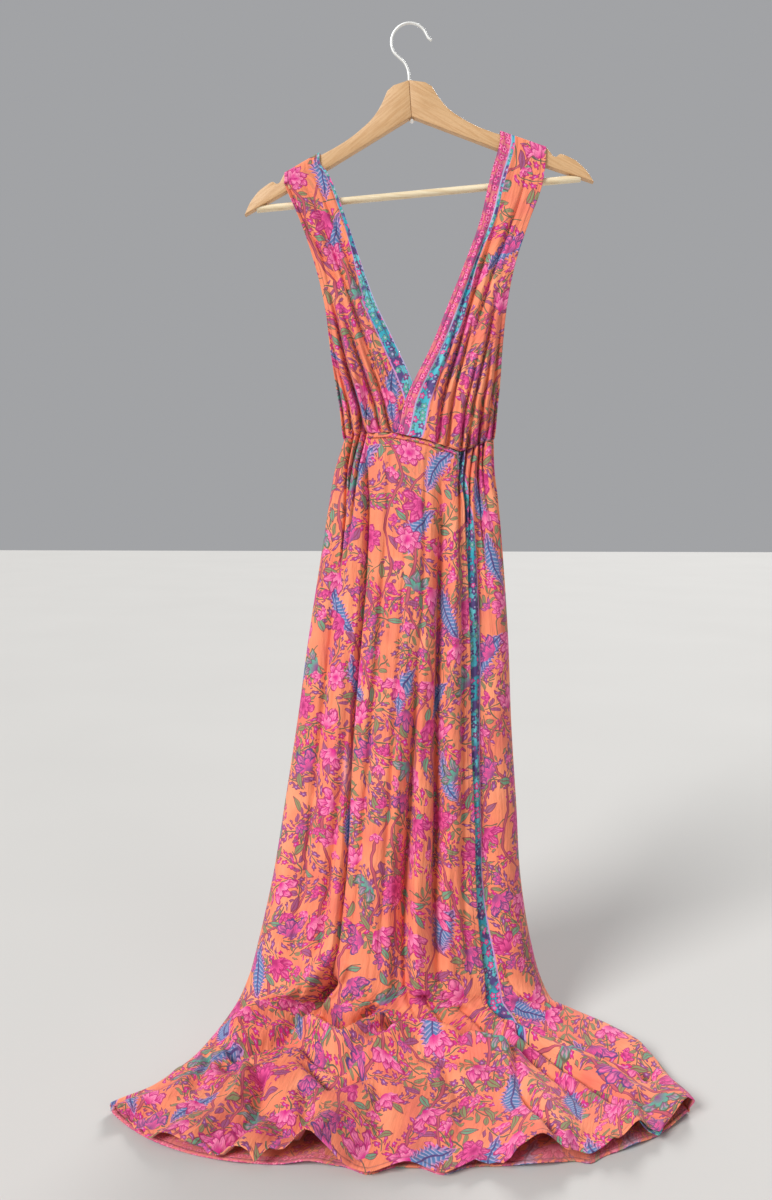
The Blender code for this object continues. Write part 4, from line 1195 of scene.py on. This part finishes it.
def draw_print(graph, cloth, border):
    """All the print's layers, from its ground up to its large flowers, and its border strips."""
    wander, shift = graph.noise(cloth, 46.0, 1.0)
    drawn = cloth + (shift - MIDDLE_GREY) * 0.0075
    patches, _ = graph.noise(cloth, 14.0, 2.0)
    paint = Paint(graph, "ground").lay(patches.step(0.45, 0.70), "ground_warm")
    paint.lay(patches.step(0.46, 0.28), "ground_pale")
    lay_twigs(graph, paint, drawn)
    lay_stems(graph, paint, drawn)
    lay_leaves_and_buds(graph, paint, drawn)
    lay_feathers(graph, paint, drawn)
    lay_flowers(graph, paint, drawn, cloth)
    lay_border(graph, paint, drawn, border, patches, wander)
    return (paint.colour,)


def new_material(name):
    """(material, graph, its Principled shader) with nothing in the tree but the shader."""
    made = bpy.data.materials.new(name)
    made.use_nodes = True
    return made, Graph(made.node_tree), made.node_tree.nodes["Principled BSDF"]


def cloth_material(name, sizes, colours, inside):
    """The printed crepe. Its inside is the same print, paler, as it comes through the cloth."""
    made, graph, shader = new_material(name)
    floral = effect("Floral print", "Cloth Border", "Color", draw_print)
    crepe = effect("Crepe", "Cloth Crinkle Weave", "Height Light", draw_crepe)
    cloth, edges = (graph.result("UVMap", {}, uv_map=layer) for layer in ("cloth", "edge"))
    border, hem, _ = graph.parts(edges)
    height, light = graph.group(crepe, cloth, sizes.crinkle, sizes.weave)
    stitch = abs(hem - sizes.hem_width).step(0.0012, 0.0004)
    # The print is darkened by the crepe's tone: partly the threads' own tone, partly painted shade on the
    # crinkles.
    paint = graph.mix(0.75, graph.group(floral, cloth, border)[0], light, blend="MULTIPLY")
    if inside:
        paint = graph.mix(0.45, paint, (*colours.inside, 1.0))
    paint = graph.mix(stitch * 0.28, paint, PRINT_COLOURS["maroon"])
    fold = hem.step(sizes.hem_width + 0.0005, sizes.hem_width)
    graph.feed(shader, {
        "Base Color": paint,
        "Normal": graph.bump(height + (fold - stitch) * 0.0004, 1.0),
        "Roughness": 0.86 - light * 0.10,
        "Specular IOR Level": 0.30,
        "Sheen Weight": 0.12,
        "Sheen Roughness": 0.45,
    })
    return made


def wood_material(name, colour, angle, ring_size):
    """Straight-grained wood whose grain runs at the given angle in the XZ plane."""
    made, graph, shader = new_material(name)
    grain = effect("Wood grain", "Wood", "Rings Pores", draw_grain)
    turned = graph.result(
        "Mapping",
        {"Vector": graph.result("TexCoord", {}, "Object"), "Rotation": (0.0, -angle, 0.0),
         "Scale": (ring_size * 14.0, ring_size, ring_size)},
        vector_type="TEXTURE",
    )
    rings, pores = graph.group(grain, turned)
    dark = (*(value * share for value, share in zip(colour, (0.86, 0.79, 0.70))), 1.0)
    paint = graph.mix(rings.step(0.38, 0.66), (*colour, 1.0), dark)
    graph.feed(shader, {
        "Base Color": graph.mix(pores * 0.20, paint, dark),
        "Roughness": rings * 0.16 + 0.44,
        "Normal": graph.bump(rings - pores, 0.0002, 0.5),
        "Coat Weight": 0.20,
        "Coat Roughness": 0.42,
    })
    return made


def steel_material():
    made, graph, shader = new_material("bright_wire")
    smudge, _ = graph.noise(graph.result("TexCoord", {}, "Object"), 60.0, 2.0, "3D")
    paint = graph.mix(smudge.step(0.4, 0.7), linear(246, 246, 243), linear(234, 233, 229))
    graph.feed(shader, {"Base Color": paint, "Roughness": smudge * 0.06 + 0.50, "Metallic": 1.0})
    return made


def settle(piece, slot, *replaced):
    """Puts a finished piece on the object's body and hides the solids that it replaces. Its slot is not
    used.
    """
    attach(piece, "root")
    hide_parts(*replaced)


def object_of(name, bm, *materials):
    mesh = bpy.data.meshes.new(name)
    bm.to_mesh(mesh)
    bm.free()
    mesh.shade_smooth()
    for made in materials:
        mesh.materials.append(made)
    made = bpy.data.objects.new(name, mesh)
    bpy.context.scene.collection.objects.link(made)
    return made


def write_map(mesh, name, values):
    """A UV map from a pair of values for each of the mesh's points."""
    layer = mesh.uv_layers.new(name=name)
    corners = np.empty(len(mesh.loops), np.int32)
    mesh.loops.foreach_get("vertex_index", corners)
    layer.data.foreach_set("uv", np.ascontiguousarray(values[corners], np.float32).ravel())


def cloth_shell(name, points, cloth, edge, thickness, flip, finishes):
    """A thin shell over a grid of points, with its two maps, its outside first."""
    down, across = points.shape[0] - 1, points.shape[1] - 1
    bm = bmesh.new()
    bmesh.ops.create_grid(bm, x_segments=across, y_segments=down, size=0.5)
    places = [((v.co.x + 0.5) * across, (v.co.y + 0.5) * down) for v in bm.verts]
    at_column, at_row = np.rint(places).astype(int).T
    for vert, point in zip(bm.verts, points[at_row, at_column]):
        vert.co = Vector(point)
    if flip:
        bmesh.ops.reverse_faces(bm, faces=bm.faces)
    made = object_of(name, bm, *finishes)
    write_map(made.data, "cloth", np.stack(cloth, axis=-1)[at_row, at_column])
    write_map(made.data, "edge", np.stack(edge, axis=-1)[at_row, at_column])
    wall = made.modifiers.new("Cloth thickness", "SOLIDIFY")
    wall.thickness = thickness
    wall.offset = 0.0
    wall.use_even_offset = False
    wall.material_offset = 1
    return made


def tube(name, points, radius, finish, around):
    """A round roll or wire along the points, made a mesh."""
    line = bpy.data.curves.new(name + "_line", "CURVE")
    line.dimensions = "3D"
    line.bevel_depth = radius
    line.bevel_resolution = around
    line.use_fill_caps = True
    run = line.splines.new("POLY")
    run.points.add(len(points) - 1)
    for spot, point in zip(run.points, points):
        spot.co = (*point, 1.0)
    helper = bpy.data.objects.new(name + "_line", line)
    bpy.context.scene.collection.objects.link(helper)
    bpy.context.view_layer.update()
    graph = bpy.context.evaluated_depsgraph_get()
    bm = bmesh.new()
    bm.from_mesh(bpy.data.meshes.new_from_object(helper.evaluated_get(graph)))
    bmesh.ops.remove_doubles(bm, verts=bm.verts, dist=1e-6)
    bmesh.ops.recalc_face_normals(bm, faces=bm.faces)
    bpy.data.objects.remove(helper)
    return object_of(name, bm, finish)


def eased(points, count):
    """A smooth run of evenly spaced points through the given ones."""
    corners = np.array(points)
    knots = np.concatenate([[0.0], np.cumsum(np.linalg.norm(np.diff(corners, axis=0), axis=1))])
    at = np.linspace(0.0, knots[-1], count)
    return list(zip(through(knots, corners[:, 0], at), through(knots, corners[:, 1], at)))


def on_hanger(points):
    return [(x, 0.0, z) for x, z in (hanger_point(*point) for point in points)]


class DressSizes(bpy.types.PropertyGroup):
    """Sizes of the dress's cloth and trimmings."""

    thickness: FloatProperty(
        name="Cloth thickness", description="Thickness of the crepe shells", default=0.0008,
        min=0.0003, max=0.0012, unit="LENGTH", precision=4,
    )
    hem_width: FloatProperty(
        name="Hem width", description="Width of the stitched hem", default=0.0055,
        min=0.003, max=0.02, unit="LENGTH", precision=4,
    )
    piping_radius: FloatProperty(
        name="Piping", description="Radius of the folded band below the waist seam",
        default=0.0013, min=0.0005, max=0.003, unit="LENGTH", precision=4,
    )
    crinkle: FloatProperty(
        name="Crinkle", description="Height of the crepe's crinkles", default=0.0015,
        min=0.0, max=0.002, unit="LENGTH", precision=5,
    )
    weave: FloatProperty(
        name="Weave", description="Height of the threads", default=0.00022,
        min=0.0, max=0.001, unit="LENGTH", precision=5,
    )
    across: IntProperty(
        name="Columns", description="Columns of each skirt panel", default=150, min=30, max=200
    )


class DressColours(bpy.types.PropertyGroup):
    """Colours of the dress's inside and the hanger."""

    inside: FloatVectorProperty(
        name="Inside", description="Tint of the cloth's inside", subtype="COLOR",
        default=linear(232, 140, 120)[:3], size=3, min=0.0, max=1.0,
    )
    arms: FloatVectorProperty(
        name="Arms", description="Colour of the hanger's arms", subtype="COLOR",
        default=linear(214, 172, 124)[:3], size=3, min=0.0, max=1.0,
    )
    bar: FloatVectorProperty(
        name="Bar", description="Colour of the trouser bar", subtype="COLOR",
        default=linear(238, 222, 188)[:3], size=3, min=0.0, max=1.0,
    )


class StageSettings(bpy.types.PropertyGroup):
    """The floor and the light."""

    floor: FloatVectorProperty(
        name="Floor", description="Colour of the studio floor", subtype="COLOR",
        default=linear(204, 202, 198)[:3], size=3, min=0.0, max=1.0,
    )
    key: FloatProperty(
        name="Key light", description="Strength of the soft light from the upper left",
        default=2.8, min=0.0, max=20.0, subtype="FACTOR",
    )
    fill: FloatProperty(
        name="Fill light", description="Strength of the light on the other side",
        default=0.25, min=0.0, max=20.0, subtype="FACTOR",
    )


def cloth_finishes(scene):
    """(outside, inside) materials of the printed crepe, made once."""
    found = []
    for name, inside in (("printed_crepe", False), ("printed_crepe_inside", True)):
        made = bpy.data.materials.get(name)
        found.append(made or cloth_material(name, scene.dress_sizes, scene.dress_colours, inside))
    return found


# The columns for a cut piece's flat sizes: width and length in metres, and its area where it isn't a
# rectangle
Cut = namedtuple("Cut", "width length area")


# A skirt panel: its solid, how its places turn into shares, its surface, the places between which
# its columns stand evenly and how many stand there, the place and the shift with which its print
# starts, and the bodice panels that it hangs from
SkirtPanel = namedtuple("SkirtPanel", "node share_at surface knots steps middle shift held_by")
SKIRT_PANELS = {
    "skirt_front_cloth": SkirtPanel(
        "skirt_front", front_share, skirt_front_surface, PANEL_KNOTS, (18, 30, 64, 38), 0.55, 0.0,
        ("bodice_front_left_cloth", "bodice_front_right_cloth"),
    ),
    "skirt_right_cloth": SkirtPanel(
        "skirt_front_right", under_share, under_surface, (0.0, UNDER_KNOT, 1.0), (20, 70), 0.0, 0.131,
        ("bodice_front_right_cloth",),
    ),
    "skirt_back_cloth": SkirtPanel(
        "skirt_back", back_share, skirt_back_surface, (-1.0, -SIDE_START, SIDE_START, 1.0),
        (14, 122, 14), 0.0, 0.067, ("bodice_back_left_cloth", "bodice_back_right_cloth"),
    ),
}
SKIRT_COLUMNS = 150.0


class OBJECT_OT_dress_skirt(bpy.types.Operator):
    """Hang the three skirt panels from the waist and lay their hems on the floor"""

    bl_idname = "object.dress_skirt"
    bl_label = "Skirt"

    def execute(self, context):
        sizes = context.scene.dress_sizes
        finishes = cloth_finishes(context.scene)
        levels = spread((0.0, 0.12, 26), (0.12, 0.68, 94), (0.68, SKIRT_LENGTH, 110))
        grow = sizes.across / SKIRT_COLUMNS
        for name, panel in SKIRT_PANELS.items():
            steps = (int(count * grow) for count in panel.steps)
            across = spread(*zip(panel.knots, panel.knots[1:], steps))
            place_on, drop = np.meshgrid(across, levels)
            share = panel.share_at(place_on, drop)
            points = panel.surface(share, drop)
            in_front = panel.node != "skirt_back"
            run, fall = printed_lengths(points, skirt_base(share, drop, 1 if in_front else -1), drop)

            def run_from(place):
                return run - run[:, [int(np.argmin(np.abs(across - place)))]]

            hem = lengths(points, 0)
            hem = hem[-1:] - hem
            border = np.full(run.shape, NO_BORDER)
            if name == "skirt_front_cloth":
                hem = np.minimum(hem, run[:, -1:] - run)
            elif name == "skirt_right_cloth":
                hem = np.minimum(hem, run)
                border = BORDER_END - through(STRIP_DROPS, STRIP_SHOWN, drop) + run_from(UNDER_KNOT)
                border = np.maximum(border, BORDER_LINE + 2.0 * LINE_EASE)
            else:
                border = np.where((hem < BACK_HEM_STRIP) & (share < BACK_STRIP_END), hem, border)
            cloth = (run_from(panel.middle) + panel.shift, panel.shift - fall)
            made = cloth_shell(name, points, cloth, (border, hem), sizes.thickness, in_front, finishes)
            settle(made, "print", panel.node)
        return {"FINISHED"}


class OBJECT_OT_dress_bodice(bpy.types.Operator):
    """Hang the four gathered bodice panels over the hanger's arms"""

    bl_idname = "object.dress_bodice"
    bl_label = "Bodice"

    def border(self, hand, side, down, to_neck):
        """The distance into the border print, which the folds of the straps hide in part."""
        if side < 0:
            return np.full(down.shape, NO_BORDER)
        if hand < 0:
            return BORDER_PINK + 2.0 * LINE_EASE + to_neck * (1.0 + 4.0 * rise(down, 0.50, 0.05))
        hidden = 5.0 - 4.0 * rise(down, 0.10, 0.55)
        return np.minimum(to_neck, BORDER_LINE) + np.maximum(to_neck - BORDER_LINE, 0.0) * hidden

    def execute(self, context):
        thickness = context.scene.dress_sizes.thickness
        finishes = cloth_finishes(context.scene)
        levels = spread((0.0, 0.10, 24), (0.10, 0.70, 50), (0.70, 1.0, 50))
        place_on, down = np.meshgrid(spread((0.0, 1.0, 90)), levels)
        hands = (
            ("left", -1, LEFT_BODICE, LEFT_PLEATS, LEFT_STRAP),
            ("right", 1, RIGHT_BODICE, RIGHT_PLEATS, RIGHT_STRAP),
        )
        for way, side in (("front", 1), ("back", -1)):
            for word, hand, table, pleat_table, strap in hands:
                node = f"bodice_{way}_{word}"
                points = bodice_surface(place_on, down, table, pleat_table, strap, hand, side)
                run, fall = lengths(points, 1), lengths(points, 0)
                to_neck = run[:, -1:] - run
                cloth = (hand * to_neck + 0.09 + 0.04 * hand, -side * fall)
                edge = (self.border(hand, side, down, to_neck), np.minimum(run, to_neck))
                flip = (hand > 0) == (side < 0)
                made = cloth_shell(node + "_cloth", points, cloth, edge, thickness, flip, finishes)
                settle(made, "print", node)
                "hanger_arm_" + word
        return {"FINISHED"}


class OBJECT_OT_dress_trim(bpy.types.Operator):
    """Sew on the piping below the waist seam"""

    bl_idname = "object.dress_trim"
    bl_label = "Piping"

    def execute(self, context):
        sizes = context.scene.dress_sizes
        share = np.linspace(FLAT_LEFT + 0.03, FLAT_RIGHT - 0.03, 90)
        drop = np.full(share.shape, PIPING_DROP)
        lift = sizes.thickness / 2.0 + sizes.piping_radius
        line = skirt_front_surface(share, drop) + outward(share, drop, 1) * lift
        outside = cloth_finishes(context.scene)[0]
        made = tube("waist_piping_cloth", line.tolist(), sizes.piping_radius, outside, around=1)
        places = np.array([tuple(v.co) for v in made.data.vertices])
        write_map(made.data, "cloth", places[:, [0, 2]])
        write_map(made.data, "edge", np.full((len(places), 2), NO_BORDER))
        settle(made, "print", "waist_piping")
        return {"FINISHED"}


def arm_outline():
    """The arm's outline from its top middle round to its underside, curved but at its notch."""
    curve, tip = (
        eased(ARM_TOP[part], ARM_CURVE_STEPS * (part.stop - part.start - 1) + 1)
        for part in (ARM_CURVE, ARM_TIP)
    )
    return [*ARM_TOP[:2], *curve, *ARM_NOTCH, *ARM_BEAK, *tip, *ARM_UNDER]


class OBJECT_OT_dress_hanger(bpy.types.Operator):
    """Shape the hanger's two arms, its bar and its wire hook"""

    bl_idname = "object.dress_hanger"
    bl_label = "Hanger"

    def arm(self, node, hand, colour):
        slope = math.atan2(ARM_TOP[0][1] - ARM_TOP[-1][1], ARM_TOP[-1][0])
        wood = wood_material(node + "_wood", colour, HANGER_TILT - hand * slope, 0.0022)
        bm = bmesh.new()
        outline = [hanger_point(hand * max(x, ARM_SPLIT_GAP / 2.0), z) for x, z in arm_outline()]
        face = bm.faces.new([bm.verts.new((x, -ARM_DEPTH / 2.0, z)) for x, z in outline])
        pushed = bmesh.ops.extrude_face_region(bm, geom=[face])
        moved = [item for item in pushed["geom"] if isinstance(item, bmesh.types.BMVert)]
        bmesh.ops.translate(bm, verts=moved, vec=(0.0, ARM_DEPTH, 0.0))
        bmesh.ops.recalc_face_normals(bm, faces=bm.faces)
        rims = [edge for edge in bm.edges if abs(edge.verts[0].co.y - edge.verts[1].co.y) < 1e-6]
        bmesh.ops.bevel(
            bm, geom=rims, affect="EDGES", offset=ARM_ROUNDING, segments=2, profile=0.5,
            material=-1, clamp_overlap=True,
        )
        made = object_of(node + "_wooden", bm, wood)
        made.data.set_sharp_from_angle(angle=SHARP_ANGLE)
        settle(made, "wood", node)

    def bar(self, colour):
        wood = wood_material("dowel_wood", colour, -HANGER_TILT, 0.0030)
        ends = on_hanger([(-BAR_HALF_LENGTH, -BAR_DROP), (BAR_HALF_LENGTH, -BAR_DROP)])
        made = tube("hanger_bar_dowel", ends, BAR_RADIUS, wood, around=10)
        made.data.set_sharp_from_angle(angle=SHARP_ANGLE)
        settle(made, "dowel", "hanger_bar")

    def hook(self):
        arc = [
            (HOOK_CENTRE[0] + HOOK_RADIUS * math.cos(angle), HOOK_CENTRE[1] + HOOK_RADIUS * math.sin(angle))
            for angle in np.radians(np.linspace(*HOOK_ARC, 15))
        ]
        line = on_hanger(eased([*HOOK_STEM, *arc, *HOOK_TIP], 140))
        made = tube("hanger_hook_wire", line, WIRE_RADIUS, steel_material(), around=6)
        bm = bmesh.new()
        bm.from_mesh(made.data)
        ball = bmesh.ops.create_uvsphere(bm, u_segments=24, v_segments=14, radius=HOOK_HEAD_RADIUS)
        x, z = hanger_point(0.0, ARM_UNDER[-1][1] - HOOK_HEAD_RADIUS)
        bmesh.ops.translate(bm, verts=ball["verts"], vec=(x, 0.0, z))
        bm.to_mesh(made.data)
        bm.free()
        made.data.shade_smooth()
        settle(made, "steel", "hanger_hook")

    def execute(self, context):
        colours = context.scene.dress_colours
        self.arm("hanger_arm_left", -1, tuple(colours.arms))
        self.arm("hanger_arm_right", 1, tuple(colours.arms))
        self.bar(tuple(colours.bar))
        self.hook()
        return {"FINISHED"}


def soft_light(name, direction, power):
    """Even light from a wide patch of sky, which shines along the direction."""
    data = bpy.data.lights.new(name, "SUN")
    data.angle = math.radians(24)
    data.energy = power
    made = bpy.data.objects.new(name, data)
    made.rotation_euler = Vector(direction).to_track_quat("-Z", "Y").to_euler()
    bpy.context.scene.collection.objects.link(made)


class OBJECT_OT_dress_stage(bpy.types.Operator):
    """Set up the camera, the floor and the soft studio light"""

    bl_idname = "object.dress_stage"
    bl_label = "Stage"

    def execute(self, context):
        scene = context.scene
        stage = scene.dress_stage
        data = bpy.data.cameras.new("camera")
        data.sensor_fit = "VERTICAL"
        data.sensor_height = 36.0
        data.lens = 28.5
        camera = bpy.data.objects.new("camera", data)
        camera.location = (0.03415, -1.26518, -0.59918)
        camera.rotation_euler = (math.radians(84.0), 0.0, math.radians(2.8))
        scene.collection.objects.link(camera)
        scene.camera = camera

        bm = bmesh.new()
        bmesh.ops.create_grid(bm, x_segments=1, y_segments=1, size=12.0)
        bmesh.ops.translate(bm, verts=bm.verts, vec=(0.0, 0.0, FLOOR_Z))
        finish, graph, shader = new_material("studio_floor")
        cloudy, _ = graph.noise(graph.result("TexCoord", {}, "Object"), 1.5, 2.0, "3D")
        duller = tuple(value * 0.94 for value in stage.floor)
        paint = graph.mix(cloudy, (*stage.floor, 1.0), (*duller, 1.0))
        graph.feed(shader, {"Base Color": paint, "Roughness": 0.85})
        object_of("studio_floor", bm, finish)

        soft_light("key_light", (0.68, 0.70, -0.74), stage.key)
        soft_light("fill_light", (-0.75, 0.80, -0.35), stage.fill)
        soft_light("back_light", (-0.30, -0.85, -0.62), 0.55 * stage.key)
        world = bpy.data.worlds.new("studio")
        world.use_nodes = True
        sky = world.node_tree.nodes["Background"]
        sky.inputs["Color"].default_value = (0.86, 0.87, 0.90, 1.0)
        sky.inputs["Strength"].default_value = 0.42
        scene.world = world
        scene.view_settings.view_transform = "Standard"
        return {"FINISHED"}


class VIEW3D_PT_dress(bpy.types.Panel):
    """The steps that build the dress, and its sizes and colours."""

    bl_label = "Wrap-front dress"
    bl_idname = "VIEW3D_PT_dress"
    bl_space_type = "VIEW_3D"
    bl_region_type = "UI"
    bl_category = "Dress"

    def draw(self, context):
        for step in STEPS:
            self.layout.operator(step.bl_idname)
        for name in SETTINGS:
            settings = getattr(context.scene, name)
            for prop in settings.__annotations__:
                self.layout.prop(settings, prop)


SETTINGS = {"dress_sizes": DressSizes, "dress_colours": DressColours, "dress_stage": StageSettings}
STEPS = (
    OBJECT_OT_dress_stage,
    OBJECT_OT_dress_bodice,
    OBJECT_OT_dress_skirt,
    OBJECT_OT_dress_trim,
    OBJECT_OT_dress_hanger,
)


def register():
    for made in (*SETTINGS.values(), *STEPS, VIEW3D_PT_dress):
        bpy.utils.register_class(made)
    for name, kind in SETTINGS.items():
        setattr(bpy.types.Scene, name, PointerProperty(type=kind))


def unregister():
    for name in SETTINGS:
        delattr(bpy.types.Scene, name)
    for made in reversed((*SETTINGS.values(), *STEPS, VIEW3D_PT_dress)):
        bpy.utils.unregister_class(made)


def main():
    register()
    bpy.ops.object.dress_stage()
    bpy.ops.object.dress_bodice()
    bpy.ops.object.dress_skirt()
    bpy.ops.object.dress_trim()
    bpy.ops.object.dress_hanger()


if __name__ == "__main__":
    main()
